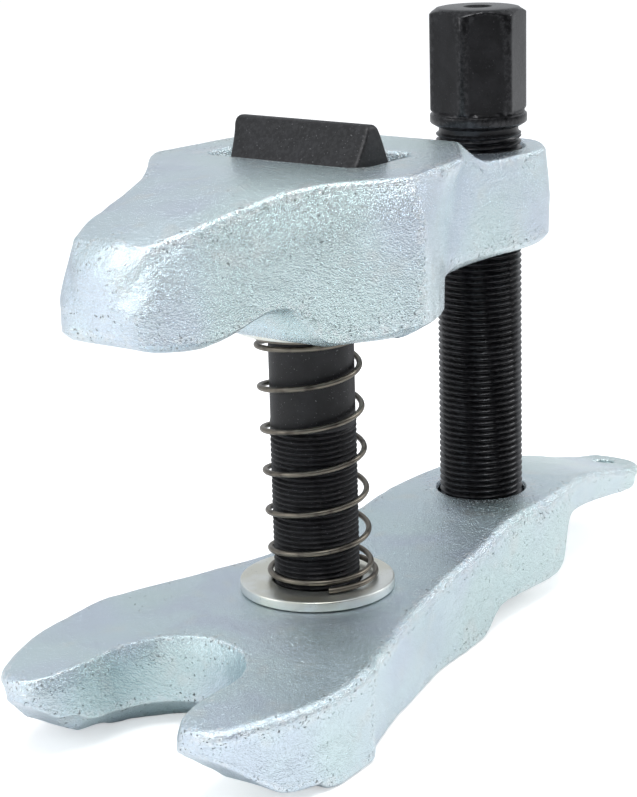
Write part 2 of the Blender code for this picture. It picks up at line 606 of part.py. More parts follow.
# ---------------------------------------------------------------- spindle
def build_spindle():
    centre = (SPINDLE_X, 0.0)
    origin = (SPINDLE_X, 0.0, BALL_Z)
    cup = BALL_R + REST_GAP
    base = BALL_Z + 1.2
    cup_r = math.sqrt(cup ** 2 - (base - BALL_Z) ** 2)
    profile = [(0.0, HEX_BASE + 1.0), (COLLAR_R - 1.0, HEX_BASE + 1.0), (COLLAR_R, HEX_BASE),
               (COLLAR_R, COLLAR_BASE + 1.6), (SPINDLE_R - 0.6, COLLAR_BASE - 0.4),
               (SPINDLE_R - 0.8, COLLAR_BASE - 0.6), (SPINDLE_R - 0.8, COLLAR_BASE - 1.4),
               (SPINDLE_R, COLLAR_BASE - 2.2), (SPINDLE_R, base + 3.4), (SPINDLE_R - 2.4, base),
               (cup_r, base)]
    start = math.asin((base - BALL_Z) / cup)
    for i in range(1, 9):
        a = start + (math.pi / 2 - start) * i / 8
        profile.append((cup * math.cos(a) if i < 8 else 0.0, BALL_Z + cup * math.sin(a)))
    bm = bmesh.new()
    revolve(bm, profile, centre, 64)
    spindle = add_object("spindle", bm)
    bm = bmesh.new()
    hex_cone(bm, HEX_AF, HEX_TURN, centre, HEX_BASE - 1.0, HEX_TOP,
             0.5 * HEX_AF - 0.2, 20.0)
    carve(spindle, [tool("hex", bm)], 'UNION')
    spindle.data.transform(Matrix.Translation(-Vector(origin) * MM))
    spindle.location = Vector(origin) * MM
    return finish(spindle, "spindle", BLACK, 0.5, 0.35)


def build_foot():
    centre = (SPINDLE_X, 0.0)
    profile = []
    for i in range(13):
        a = math.pi / 2 - math.pi * i / 12
        profile.append((BALL_R * math.cos(a) if 0 < i < 12 else 0.0,
                        BALL_Z + BALL_R * math.sin(a)))
    bm = bmesh.new()
    revolve(bm, profile, centre, 32)
    ball = add_object("thrust_ball", bm, (SPINDLE_X, 0.0, BALL_Z))
    finish(ball, "thrust_ball", (0.5, 0.5, 0.5), 1.0, 0.15)

    cup = BALL_R + REST_GAP
    top = BALL_Z - 2.6
    rim = math.sqrt(cup ** 2 - (BALL_Z - top) ** 2)
    start = math.asin((BALL_Z - top) / cup)
    profile = []
    for i in range(7):
        a = math.pi / 2 - (math.pi / 2 - start) * i / 6
        profile.append((cup * math.cos(a) if i else 0.0, BALL_Z - cup * math.sin(a)))
    profile[-1] = (rim, top)
    profile += [(PAD_R - 1.0, top), (PAD_R, top - 1.0), (PAD_R, PAD_BASE), (0.0, PAD_BASE)]
    bm = bmesh.new()
    revolve(bm, profile, centre, 48)
    pad = add_object("thrust_pad", bm)
    finish(pad, "thrust_pad", STEEL, 0.8, 0.35)
    return ball, pad


def main():
    clear_scene()
    fork = build_fork()
    lower = build_washer("lower_washer", FORK_TOP + REST_GAP)
    ball, pad = build_foot()
    swivel = build_swivel()
    bolt = build_tie_bolt()
    nut = build_nut()
    upper = build_washer("upper_washer", UPPER_WASHER_Z)
    spring = build_spring()
    lever = build_lever()
    spindle = build_spindle()
    print("pieces", [o.name for o in (fork, lower, ball, pad, swivel, bolt, nut, upper,
                                      spring, lever, spindle)])


main()
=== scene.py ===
"""Ball joint separator: forged surfaces, threads, finishes, stage and camera around the frame.

Lengths are in millimetres until a mesh is made, which turns them into metres.
"""

import json
import logging
import math
from dataclasses import dataclass
from enum import Enum
from typing import Callable, Sequence

import bmesh
import bpy
import numpy as np
from mathutils import Matrix, Vector

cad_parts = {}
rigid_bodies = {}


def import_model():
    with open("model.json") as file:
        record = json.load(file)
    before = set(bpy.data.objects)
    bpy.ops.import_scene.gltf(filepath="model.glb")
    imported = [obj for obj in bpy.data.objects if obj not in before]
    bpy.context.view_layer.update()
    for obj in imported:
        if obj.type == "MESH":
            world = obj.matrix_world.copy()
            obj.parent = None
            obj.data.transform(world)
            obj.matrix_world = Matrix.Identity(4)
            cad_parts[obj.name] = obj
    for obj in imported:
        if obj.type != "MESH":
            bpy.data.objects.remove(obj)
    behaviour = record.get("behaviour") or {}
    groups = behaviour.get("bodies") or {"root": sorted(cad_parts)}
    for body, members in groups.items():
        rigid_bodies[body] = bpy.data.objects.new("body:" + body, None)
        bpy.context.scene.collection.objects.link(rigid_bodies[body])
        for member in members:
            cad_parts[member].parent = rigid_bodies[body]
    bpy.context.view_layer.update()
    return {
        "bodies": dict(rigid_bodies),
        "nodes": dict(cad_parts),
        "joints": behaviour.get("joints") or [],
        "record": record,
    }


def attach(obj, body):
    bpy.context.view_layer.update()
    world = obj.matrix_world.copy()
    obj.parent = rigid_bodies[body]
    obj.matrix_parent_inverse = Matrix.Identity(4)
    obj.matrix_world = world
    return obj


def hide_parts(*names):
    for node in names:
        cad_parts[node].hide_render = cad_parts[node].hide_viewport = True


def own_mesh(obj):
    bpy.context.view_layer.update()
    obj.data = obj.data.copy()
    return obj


Array = np.ndarray
LOG = logging.getLogger("separator")

MM = 0.001
BOLT_X = -34.0
SPINDLE_X = 52.0
EAR_HOLE_X = 129.5
LEVER_TOP = 149.5


class Body(str, Enum):
    """Moving bodies that new pieces ride on."""

    FORK = "fork_body"
    SWIVEL = "swivel"
    BOLT = "bolt"
    LEVER = "lever"
    SCREW = "screw"


class Slot(str, Enum):
    """Names of material slots, which nothing below reads; main's table hands out the finishes.
    """

    FORGING = "zinc_forging"
    WASHER = "zinc_washer"
    BOLT = "phosphate"
    SPINDLE = "black_oxide"
    SPRING = "spring_steel"


# ---------------------------------------------------------------- curves and noise
def monotone(x: Array, xs: Sequence[float], ys: Sequence[float]) -> Array:
    """Monotone cubic through a table: Hermite pieces whose slopes are harmonic means.

    Args:
        x: places to evaluate.
        xs: rising table places.
        ys: table values.

    Returns:
        The values at x, held constant beyond the table's ends.
    """
    xs, ys = np.asarray(xs, float), np.asarray(ys, float)
    h = np.diff(xs)
    d = np.diff(ys) / h
    same = d[:-1] * d[1:] > 0
    w1, w2 = 2 * h[1:] + h[:-1], h[1:] + 2 * h[:-1]
    safe = np.where(same, d[:-1], 1.0), np.where(same, d[1:], 1.0)
    m = np.zeros_like(xs)
    m[1:-1] = np.where(same, (w1 + w2) / (w1 / safe[0] + w2 / safe[1]), 0.0)
    m[0], m[-1] = d[0], d[-1]
    x = np.clip(np.asarray(x, float), xs[0], xs[-1])
    k = np.clip(np.searchsorted(xs, x, side="right") - 1, 0, len(xs) - 2)
    t = (x - xs[k]) / h[k]
    return ((2 * t**3 - 3 * t**2 + 1) * ys[k] + (t**3 - 2 * t**2 + t) * h[k] * m[k]
            + (3 * t**2 - 2 * t**3) * ys[k + 1] + (t**3 - t**2) * h[k] * m[k + 1])


def smooth(x: Array, low: float, high: float) -> Array:
    """Smooth step from 0 at low to 1 at high."""
    t = np.clip((np.asarray(x, float) - low) / (high - low), 0.0, 1.0)
    return t * t * (3 - 2 * t)


def ripple(points: Array, size: float, seed: int, waves: int = 14) -> Array:
    """Soft unevenness: a sum of plane sine waves of about one wavelength.

    Args:
        points: array of places, last axis x, y, z.
        size: wavelength in millimetres.
        seed: picks the waves' directions and phases.
        waves: how many waves are added.

    Returns:
        Values of about -1 to 1, one per point.
    """
    rng = np.random.default_rng(seed)
    ways = rng.normal(size=(waves, 3))
    ways *= (rng.uniform(0.7, 1.4, waves) * 2 * np.pi / size
             / np.linalg.norm(ways, axis=1))[:, None]
    phase = rng.uniform(0, 2 * np.pi, waves)
    return np.sin(points @ ways.T + phase).sum(axis=-1) / math.sqrt(waves)


class Path:
    """A plane curve through control points, followed by its share of length."""

    def __init__(self, points: Sequence[tuple[float, float]]) -> None:
        """Args: points: control points in order."""
        self.points = np.asarray(points, float)
        steps = np.hypot(*np.diff(self.points, axis=0).T)
        self.keys = np.concatenate([[0.0], np.cumsum(steps)])
        self.length = float(self.keys[-1])

    def at(self, share: Array) -> Array:
        """Points at shares 0 to 1 of the length: each coordinate is a monotone cubic."""
        s = np.asarray(share, float) * self.length
        return np.stack([monotone(s, self.keys, self.points[:, k]) for k in (0, 1)], -1)


# ---------------------------------------------------------------- meshes
def new_mesh(name: str, points: Array, quads: Array) -> bpy.types.Object:
    """Make an object from points in millimetres and quads, without its doubles.

    Args:
        name: object and mesh name.
        points: (n, 3) places in millimetres.
        quads: (m, 4) corner indices.

    Returns:
        The linked object, at the origin, with outward faces.
    """
    mesh = bpy.data.meshes.new(name)
    mesh.vertices.add(len(points))
    mesh.vertices.foreach_set("co", (points * MM).astype(np.float32).ravel())
    mesh.loops.add(quads.size)
    mesh.loops.foreach_set("vertex_index", quads.astype(np.int32).ravel())
    mesh.polygons.add(len(quads))
    mesh.polygons.foreach_set("loop_start", np.arange(len(quads), dtype=np.int32) * 4)
    mesh.update(calc_edges=True)
    bm = bmesh.new()
    bm.from_mesh(mesh)
    bmesh.ops.remove_doubles(bm, verts=bm.verts, dist=2e-6)
    bmesh.ops.dissolve_degenerate(bm, edges=bm.edges, dist=2e-6)
    bmesh.ops.holes_fill(bm, edges=[e for e in bm.edges if e.is_boundary], sides=8)
    bmesh.ops.recalc_face_normals(bm, faces=bm.faces)
    bm.to_mesh(mesh)
    bm.free()
    obj = bpy.data.objects.new(name, mesh)
    bpy.context.scene.collection.objects.link(obj)
    return obj


def grid_quads(rows: int, cols: int, wrap: bool = True) -> Array:
    """Quads between neighbouring rows and columns of a grid of points.

    Args:
        rows: rows of points.
        cols: columns of points.
        wrap: join the last column to the first.

    Returns:
        (m, 4) corner indices.
    """
    idx = np.arange(rows * cols).reshape(rows, cols)
    nxt = np.roll(idx, -1, axis=1)
    if not wrap:
        idx, nxt = idx[:, :-1], nxt[:, :-1]
    return np.stack([idx[:-1], nxt[:-1], nxt[1:], idx[1:]], -1).reshape(-1, 4)


def grid_object(name: str, grid: Array) -> bpy.types.Object:
    """Object from a (rows, cols, 3) grid closed round its columns."""
    rows, cols = grid.shape[:2]
    return new_mesh(name, grid.reshape(-1, 3), grid_quads(rows, cols))


def turned(name: str, radii: Array, heights: Array, centre: tuple[float, float],
           cols: int = 96) -> bpy.types.Object:
    """Surface of revolution: each row is a circle of its radius at its height.

    Args:
        name: object name.
        radii: (rows,) or (rows, cols) radii; a zero radius closes the body.
        heights: (rows,) or (rows, cols) heights.
        centre: axis place.
        cols: points round the axis.

    Returns:
        The object.
    """
    a = np.arange(cols) * 2 * np.pi / cols
    r = np.broadcast_to(radii.reshape(len(radii), -1), (len(radii), cols))
    z = np.broadcast_to(heights.reshape(len(heights), -1), r.shape)
    return grid_object(name, np.stack([centre[0] + r * np.cos(a), centre[1] + r * np.sin(a), z],
                                      -1))


def prism(name: str, rings: Sequence[tuple[float, Array]]) -> bpy.types.Object:
    """Closed body through plan outlines at rising heights.

    Args:
        name: object name.
        rings: (height, (n, 2) outline) from one end to the other.

    Returns:
        The object, closed by fans to the outlines' middles.
    """
    rows = [np.column_stack([line, np.full(len(line), z)]) for z, line in rings]
    ends = [np.tile(rows[k].mean(axis=0), (len(rows[k]), 1)) for k in (0, -1)]
    return grid_object(name, np.stack([ends[0], *rows, ends[1]]))


def outward(outline: Array) -> Array:
    """Outward normals of a closed outline: central differences turned by a quarter.

    Args:
        outline: (n, 2) counter-clockwise points.

    Returns:
        (n, 2) unit normals.
    """
    tangent = np.roll(outline, -1, axis=0) - np.roll(outline, 1, axis=0)
    tangent /= np.maximum(np.hypot(*tangent.T), 1e-9)[:, None]
    return np.column_stack([tangent[:, 1], -tangent[:, 0]])


def rounded_box(cx: float, cy: float, half_x: float, half_y: float, corner: float) -> Array:
    """Rounded rectangle: a small circle whose quarters are moved out to the corners.

    Args:
        cx: middle along X.
        cy: middle along Y.
        half_x: half its length along X.
        half_y: half its length along Y.
        corner: corner radius.

    Returns:
        (128, 2) counter-clockwise points.
    """
    a = np.arange(128) * 2 * np.pi / 128
    box = np.array([half_x - corner, half_y - corner])
    return np.column_stack([cx + np.sign(np.cos(a)) * box[0] + corner * np.cos(a),
                            cy + np.sign(np.sin(a)) * box[1] + corner * np.sin(a)])


def combine(obj: bpy.types.Object, others: Sequence[bpy.types.Object],
            operation: str = "DIFFERENCE") -> bpy.types.Object:
    """Cut or join other bodies into obj one after another, then bake the result.

    Args:
        obj: body that stays.
        others: bodies used up by the operation.
        operation: Boolean modifier operation.

    Returns:
        obj with its new mesh.
    """
    for other in others:
        step = obj.modifiers.new("step", "BOOLEAN")
        step.solver, step.operation, step.object = "EXACT", operation, other
        graph = bpy.context.evaluated_depsgraph_get()
        mesh = bpy.data.meshes.new_from_object(obj.evaluated_get(graph))
        obj.modifiers.clear()
        obj.data = mesh
        bpy.data.objects.remove(other, do_unlink=True)
        bm = bmesh.new()
        bm.from_mesh(mesh)
        bmesh.ops.remove_doubles(bm, verts=bm.verts, dist=2e-6)
        bmesh.ops.dissolve_degenerate(bm, edges=bm.edges, dist=2e-6)
        bmesh.ops.triangulate(bm, faces=[f for f in bm.faces if len(f.verts) > 4])
        bm.to_mesh(mesh)
        bm.free()
    obj.data.name = obj.name
    return obj


def shade(obj: bpy.types.Object, angle: float = 32.0) -> bpy.types.Object:
    """Smooth shading that keeps sharp edges.

    Args:
        obj: piece to shade.
        angle: edges that turn by more than this, in degrees, stay sharp.

    Returns:
        obj.
    """
    obj.data.polygons.foreach_set("use_smooth", np.ones(len(obj.data.polygons), bool))
    obj.data.set_sharp_from_angle(angle=math.radians(angle))
    return obj


def mark_wear(obj: bpy.types.Object, passes: int = 3) -> None:
    """Store how sharply the surface turns at each point, as the attribute wear.

    The turn of an edge is the difference of its ends' normals over its length; a point takes
    the largest of its edges, and neighbours are then averaged a few times.

    Args:
        obj: finished mesh object.
        passes: how often neighbours are averaged.
    """
    mesh = obj.data
    count = len(mesh.vertices)
    co = np.empty(count * 3, np.float32)
    mesh.vertices.foreach_get("co", co)
    co = co.reshape(-1, 3).astype(float) / MM
    no = np.empty(count * 3, np.float32)
    mesh.vertices.foreach_get("normal", no)
    no = no.reshape(-1, 3).astype(float)
    ends = np.empty(len(mesh.edges) * 2, np.int32)
    mesh.edges.foreach_get("vertices", ends)
    a, b = ends.reshape(-1, 2).T
    length = np.linalg.norm(co[a] - co[b], axis=1)
    bulge = ((no[a] - no[b]) * (co[a] - co[b])).sum(axis=1) / np.maximum(length, 0.3) ** 2
    turn = np.clip(bulge, 0.0, 1.0)
    value = np.zeros(count)
    np.maximum.at(value, a, turn)
    np.maximum.at(value, b, turn)
    for _ in range(passes):
        total, near = value.copy(), np.ones(count)
        np.add.at(total, a, value[b])
        np.add.at(total, b, value[a])
        np.add.at(near, a, 1.0)
        np.add.at(near, b, 1.0)
        value = total / near
    value = np.clip(value / 0.22, 0.0, 1.0)
    layer = mesh.attributes.get("wear") or mesh.attributes.new("wear", "FLOAT", "POINT")
    layer.data.foreach_set("value", value.astype(np.float32))


# ---------------------------------------------------------------- forged slab
@dataclass
class Slab:
    """A forged body drawn as columns that run from a spine over the top edge, down the wall
    and back under the base to the same spine.

    Every field is an array with one entry per column.
    """

    rim: Array          # (n, 2) outline of the wall's top
    foot: Array         # (n, 2) outline of the wall's bottom
    spine: Array        # (n, 2) where the top and the base close
    edge: Array         # width of the rounded top edge
    edge_drop: Array    # height of the rounded top edge
    band: Array         # height at which the sloping upper wall ends
    under: Array        # width of the lower edge
    under_rise: Array   # height of the lower edge
    top: Callable[[Array], Array]
    base: Callable[[Array], Array]
    lower_round: float = 0.5
    cap_rows: int = 12

    def grid(self) -> Array:
        """Rows of points: top cap, quarter-ellipse edge, wall in two slopes, lower edge, base.

        Returns:
            (rows, columns, 3) points.
        """
        n = outward(self.rim)
        inner = self.rim - n * self.edge[:, None]
        rows = []
        for s in 1 - (1 - np.linspace(0, 1, self.cap_rows)) ** 1.6:
            p = self.spine + (inner - self.spine) * s
            rows.append(np.column_stack([p, self.top(p)]))
        z_rim = self.top(inner)
        for phi in np.linspace(0, np.pi / 2, 8)[1:]:
            p = self.rim - n * (self.edge * (1 - np.sin(phi)))[:, None]
            rows.append(np.column_stack([p, z_rim - self.edge_drop * (1 - np.cos(phi))]))
        m = outward(self.foot)
        for _ in range(24):
            m = 0.5 * m + 0.25 * (np.roll(m, 1, axis=0) + np.roll(m, -1, axis=0))
        sole = self.foot - m * self.under[:, None]
        z_sole = self.base(sole)
        z_top, z_low = z_rim - self.edge_drop, z_sole + self.under_rise
        band = np.clip(self.band, z_low + 1.0, z_top - 0.2)
        for s in np.linspace(0, 1, 9)[1:]:
            z = z_top + (band - z_top) * s
            share = 0.94 * (s + 0.10 * np.sin(np.pi * s))
            p = self.rim + (self.foot - self.rim) * share
            rows.append(np.column_stack([p, z]))
        for s in np.linspace(0, 1, 11)[1:]:
            z = band + (z_low - band) * s
            p = self.rim + (self.foot - self.rim) * (0.94 + 0.06 * s)
            rows.append(np.column_stack([p, z]))
        for s in np.linspace(0, 1, 6)[1:]:
            arc_in, arc_down = 1 - math.cos(s * np.pi / 2), math.sin(s * np.pi / 2)
            k = self.lower_round
            move, drop = k * arc_in + (1 - k) * s, k * arc_down + (1 - k) * s
            p = self.foot - m * (self.under * move)[:, None]
            rows.append(np.column_stack([p, z_low - self.under_rise * drop]))
        for s in np.linspace(1, 0, self.cap_rows)[1:]:
            p = self.spine + (sole - self.spine) * s
            rows.append(np.column_stack([p, self.base(p)]))
        return np.stack(rows)


def mirrored(half: Array) -> Array:
    """Close half an outline with its mirror image in reverse, less the two ends on the axis.

    Args:
        half: values per column, from one end of the axis over +Y to the other.

    Returns:
        Values for the whole outline; a plan point's Y changes sign on the mirrored side.
    """
    back = half[::-1][1:-1].copy()
    if back.ndim == 2:
        back = back * [1.0, -1.0]
    return np.concatenate([half, back])


# ---------------------------------------------------------------- fork
@dataclass
class ForkAssembly:
    """Forged fork with its mouth, spindle socket, ear and lower washer."""

    mouth_x: float = -65.5
    mouth_r: float = 19.1
    band_z: float = 21.0
    bolt_hole: float = 13.6
    spindle_seat: float = 13.4
    nut_room: float = 23.5
    lean_z: float = 38.2
    outer: tuple = (
        (174.4, 0.0), (174.1, 3.2), (172.8, 6.7), (170.0, 9.7), (165.0, 11.7), (158.0, 12.5),
        (150.0, 13.5), (142.0, 15.0), (134.0, 16.6), (126.0, 18.0), (118.0, 19.3), (110.0, 20.8),
        (103.5, 22.3), (98.0, 23.5), (94.0, 24.0), (88.0, 24.5), (80.0, 24.7), (66.0, 24.6),
        (57.0, 25.0), (47.0, 26.0), (40.0, 26.6), (30.0, 27.5), (20.0, 28.8), (10.0, 31.0),
        (0.0, 33.8), (-5.0, 35.3))
    prong: tuple = (
        (-5.0, 35.3), (-10.0, 36.8), (-20.0, 40.4), (-28.0, 43.2), (-34.0, 45.2), (-37.0, 46.6),
        (-40.0, 47.2), (-46.0, 47.7), (-54.0, 48.0), (-58.5, 47.9), (-62.0, 47.6), (-66.0, 46.9),
        (-72.0, 45.2), (-76.0, 43.6), (-80.0, 42.0), (-84.0, 40.3), (-87.5, 38.5), (-90.4, 36.2),
        (-92.2, 33.6), (-92.9, 31.0))
    mouth: tuple = (
        (-92.9, 31.0), (-92.7, 28.9), (-91.8, 26.2), (-90.0, 24.2), (-87.5, 22.8), (-84.0, 21.6),
        (-78.0, 20.5), (-72.0, 20.1), (-65.5, 20.0))
    top_table: tuple = (
        (-93.1, 24.3), (-90.6, 25.2), (-87.5, 25.4), (-80.0, 25.7), (-66.0, 25.8), (-54.0, 26.0),
        (-46.0, 26.6), (-40.0, 27.1), (-34.0, 27.4), (-28.0, 27.5), (10.0, 27.5), (20.0, 27.7),
        (30.0, 28.4), (40.0, 29.2), (47.0, 29.9), (52.0, 30.6), (57.0, 31.4), (61.0, 32.2),
        (66.0, 33.0), (72.0, 33.5), (101.0, 33.5), (103.5, 33.4), (106.0, 33.2), (110.0, 32.8),
        (118.0, 31.7), (126.0, 30.2), (134.0, 28.4), (142.0, 26.4), (150.0, 24.2), (158.0, 22.2),
        (165.0, 20.8), (170.0, 20.2), (174.4, 19.7))
    base_table: tuple = (
        (-93.1, 20.0), (-92.3, 18.8), (-90.6, 17.4), (-87.5, 15.2), (-84.0, 12.4), (-80.0, 9.0),
        (-76.0, 5.9), (-72.0, 4.0), (-66.0, 3.1), (-62.0, 2.7), (-60.0, 1.2), (-57.5, 0.4),
        (-54.0, 0.0), (47.0, 0.0), (52.0, 1.2), (57.0, 4.8), (61.0, 6.6), (66.0, 6.9),
        (72.0, 6.7), (80.0, 6.4), (88.0, 6.1), (94.0, 6.0), (98.0, 7.2), (101.0, 12.0),
        (103.5, 17.6), (106.0, 20.4), (110.0, 21.2), (118.0, 20.8), (126.0, 19.6), (134.0, 18.1),
        (142.0, 16.4), (150.0, 14.8), (158.0, 13.4), (165.0, 12.6), (170.0, 12.4), (174.4, 12.9))
    relief_table: tuple = (
        (-93.0, 15.6), (-90.9, 14.9), (-85.7, 13.7), (-80.5, 12.8), (-78.5, 12.2), (-75.5, 10.3),
        (-73.0, 9.5), (-67.4, 8.9), (-62.6, 8.3), (-57.0, 8.0), (-46.0, 7.5))

    def top(self, p: Array) -> Array:
        """Top face: a table along X, with a faint ripple."""
        return monotone(p[:, 0], *zip(*self.top_table)) + 0.05 * ripple(self._flat(p), 34.0, 3)

    def base(self, p: Array) -> Array:
        """Underside: the table along X, or the slanted relief round the mouth if higher.

        Args:
            p: (n, 2) plan points.

        Returns:
            Heights.
        """
        x, y = p[:, 0], np.abs(p[:, 1])
        inner = np.asarray(self.mouth)[::-1]
        straight = y - np.interp(-x, -inner[:, 0], inner[:, 1])
        away = np.where(x > self.mouth_x, np.hypot(x - self.mouth_x, y) - self.mouth_r - 0.9,
                        straight)
        relief = monotone(x, *zip(*self.relief_table)) - 0.85 * np.maximum(away, 0.0)
        return np.maximum(monotone(x, *zip(*self.base_table)), relief)

    @staticmethod
    def _flat(p: Array) -> Array:
        """Plan points with a zero height."""
        return np.column_stack([p, np.zeros(len(p))])

    def slab(self) -> Slab:
        """Columns of the fork: trunk, outer prong and mouth wall, then their mirror image.

        Returns:
            The slab; both sides of a prong share one spine, so the top and the base close.
        """
        outer, prong = Path(self.outer), Path(self.prong)
        angle = np.linspace(90, 0, 19)[1:]
        round_end = [(self.mouth_x + 20.0 * math.cos(math.radians(a)),
                      20.0 * math.sin(math.radians(a))) for a in angle]
        mouth = Path(list(self.mouth) + round_end)
        reach = [(self.mouth_x + r * math.cos(math.radians(a)), r * math.sin(math.radians(a)))
                 for a, r in zip(np.linspace(0, 90, 13), np.linspace(40, 33.4, 13))]
        branch = Path(reach + [(-72.0, 32.4), (-80.0, 31.4), (-86.5, 30.8)])
        trunk_rim = outer.at(np.linspace(0, 1, 200)[:-1])
        trunk_spine = np.column_stack([np.interp(trunk_rim[:, 0], [-5, 40, 158, 174.4],
                                                 [-25.5, 38, 156, 160]),
                                       np.zeros(len(trunk_rim))])
        t = np.linspace(0, 1, 120)
        prong_rim = prong.at(np.interp(t, [0, 0.62, 0.93, 1], [0, 0.64, 0.94, 1]))
        mouth_rim = mouth.at(1 - np.interp(t, [0, 0.62, 0.93, 1], [0, 0.52, 0.90, 1]))
        spine = branch.at(np.interp(t, [0, 0.62, 0.93, 1], [0, 0.75, 1, 1]))
        rim = np.concatenate([trunk_rim, prong_rim, mouth_rim[::-1][1:]])
        bone = np.concatenate([trunk_spine, spine, spine[::-1][1:]])
        inside = np.concatenate([np.zeros(len(trunk_rim)),
                                 smooth(t, 0.95, 1.0) * 0.5,
                                 1 - 0.5 * smooth(t[::-1][1:], 0.95, 1.0)])
        x = rim[:, 0]
        rim, bone = mirrored(rim), mirrored(bone)
        inside, x = mirrored(inside), mirrored(x)
        crease = smooth(x, -37.5, -34.5) * (1 - smooth(x, -30, 10)) * (1 - inside)
        n = outward(rim)
        lean = 1.2 + 1.6 * crease
        foot = rim - n * (lean * (1 - inside) - 1.0 * inside)[:, None]
        keen = 1 - inside
        return Slab(rim=rim, foot=foot, spine=bone, edge=2.5 * keen + 0.9 * inside,
                    edge_drop=2.5 * keen + 0.9 * inside,
                    band=self.band_z * inside + 14.0 * keen,
                    under=1.6 * keen + 0.7 * inside, under_rise=1.6 * keen + 0.7 * inside,
                    top=self.top, base=self.base, lower_round=1.0)

    def build(self) -> list[bpy.types.Object]:
        """Make the fork body, its machined holes and the washer on it.

        Returns:
            The two pieces.
        """
        grid = self.slab().grid()
        wall = np.gradient(grid, axis=1)
        sway = 0.10 * ripple(grid, 17.0, 5) + 0.06 * ripple(grid, 6.5, 6)
        side = np.cross(wall, np.gradient(grid, axis=0))
        side /= np.maximum(np.linalg.norm(side, axis=-1), 1e-6)[..., None]
        flat = np.abs(side[..., 2]) > 0.9
        grid = grid + side * (sway * np.where(flat, 0.25, 1.0))[..., None]
        grid[..., 0] += BOLT_X
        fork = grid_object("fork_forging", grid)
        hole, socket, nut_room, seat_r = self.bolt_hole, self.spindle_seat, self.nut_room, 26.0
        dome = np.linspace(18.6, 1.0, 16)
        cutters = [
            turned("cut_hole", np.array([0, hole, hole, hole + 0.8, hole + 6, 0.0]),
                   np.array([9.0, 9.0, 26.9, 27.7, 36, 36.0]), (BOLT_X, 0.0), 96),
            turned("cut_recess", np.concatenate([[0.0, nut_room + 1.2, nut_room, nut_room,
                                                  nut_room - 1.0], dome, [0.0]]),
                   np.concatenate([[-2.0, -2.0, 1.0, 18.9, 19.9],
                                   self.lean_z - np.sqrt(seat_r ** 2 - dome ** 2),
                                   [self.lean_z - seat_r]]),
                   (BOLT_X, 0.0), 96),
            turned("cut_socket", np.array([0, socket, socket, socket + 0.7, socket + 7, 0.0]),
                   np.array([10.7, 10.7, 32.7, 33.6, 41, 41.0]), (SPINDLE_X, 0.0), 96),
            turned("cut_ear", np.array([0, 9.4, 3.9, 3.4, 3.4, 3.9, 9.4, 0.0]),
                   np.array([3.0, 7.0, 12.6, 13.2, 20.2, 20.9, 27, 27.0]),
                   (EAR_HOLE_X, 0.0), 48)]
        combine(fork, cutters)
        shade(fork)
        mark_wear(fork)
        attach(fork, Body.FORK.value)
        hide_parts("lower_fork")
        washer = build_washer("fork_washer", 27.8, Body.FORK, "lower_washer")
        return [fork, washer]


def build_washer(name: str, base: float, body: Body, node: str) -> bpy.types.Object:
    """Turned washer: a rounded rectangle profile carried round the bolt axis.

    Args:
        name: piece name.
        base: height of its underside.
        body: body that it rides on.
        node: frame node that it stands for.

    Returns:
        The piece.
    """
    bore, rim, top, r = 12.7, 21.7, base + 2.85, 0.45
    a = np.linspace(0, np.pi / 2, 5)
    outer_r = np.concatenate([rim - r + r * np.cos(a[::-1]), rim - r + r * np.cos(a)])
    outer_z = np.concatenate([top - r + r * np.sin(a[::-1]), base + r - r * np.sin(a)])
    radii = np.concatenate([[bore + 0.3], np.linspace(bore + 1.5, rim - 2, 6), outer_r,
                            np.linspace(rim - 2, bore + 1.5, 4), [bore + 0.3, bore, bore,
                                                                 bore + 0.3]])
    heights = np.concatenate([[top], np.full(6, top), outer_z, np.full(4, base),
                              [base, base + 0.3, top - 0.3, top]])
    obj = turned(name, radii, heights, (BOLT_X, 0.0), 144)
    shade(obj, 40)
    mark_wear(obj, 1)
    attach(obj, body.value)
    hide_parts(node)
    return obj


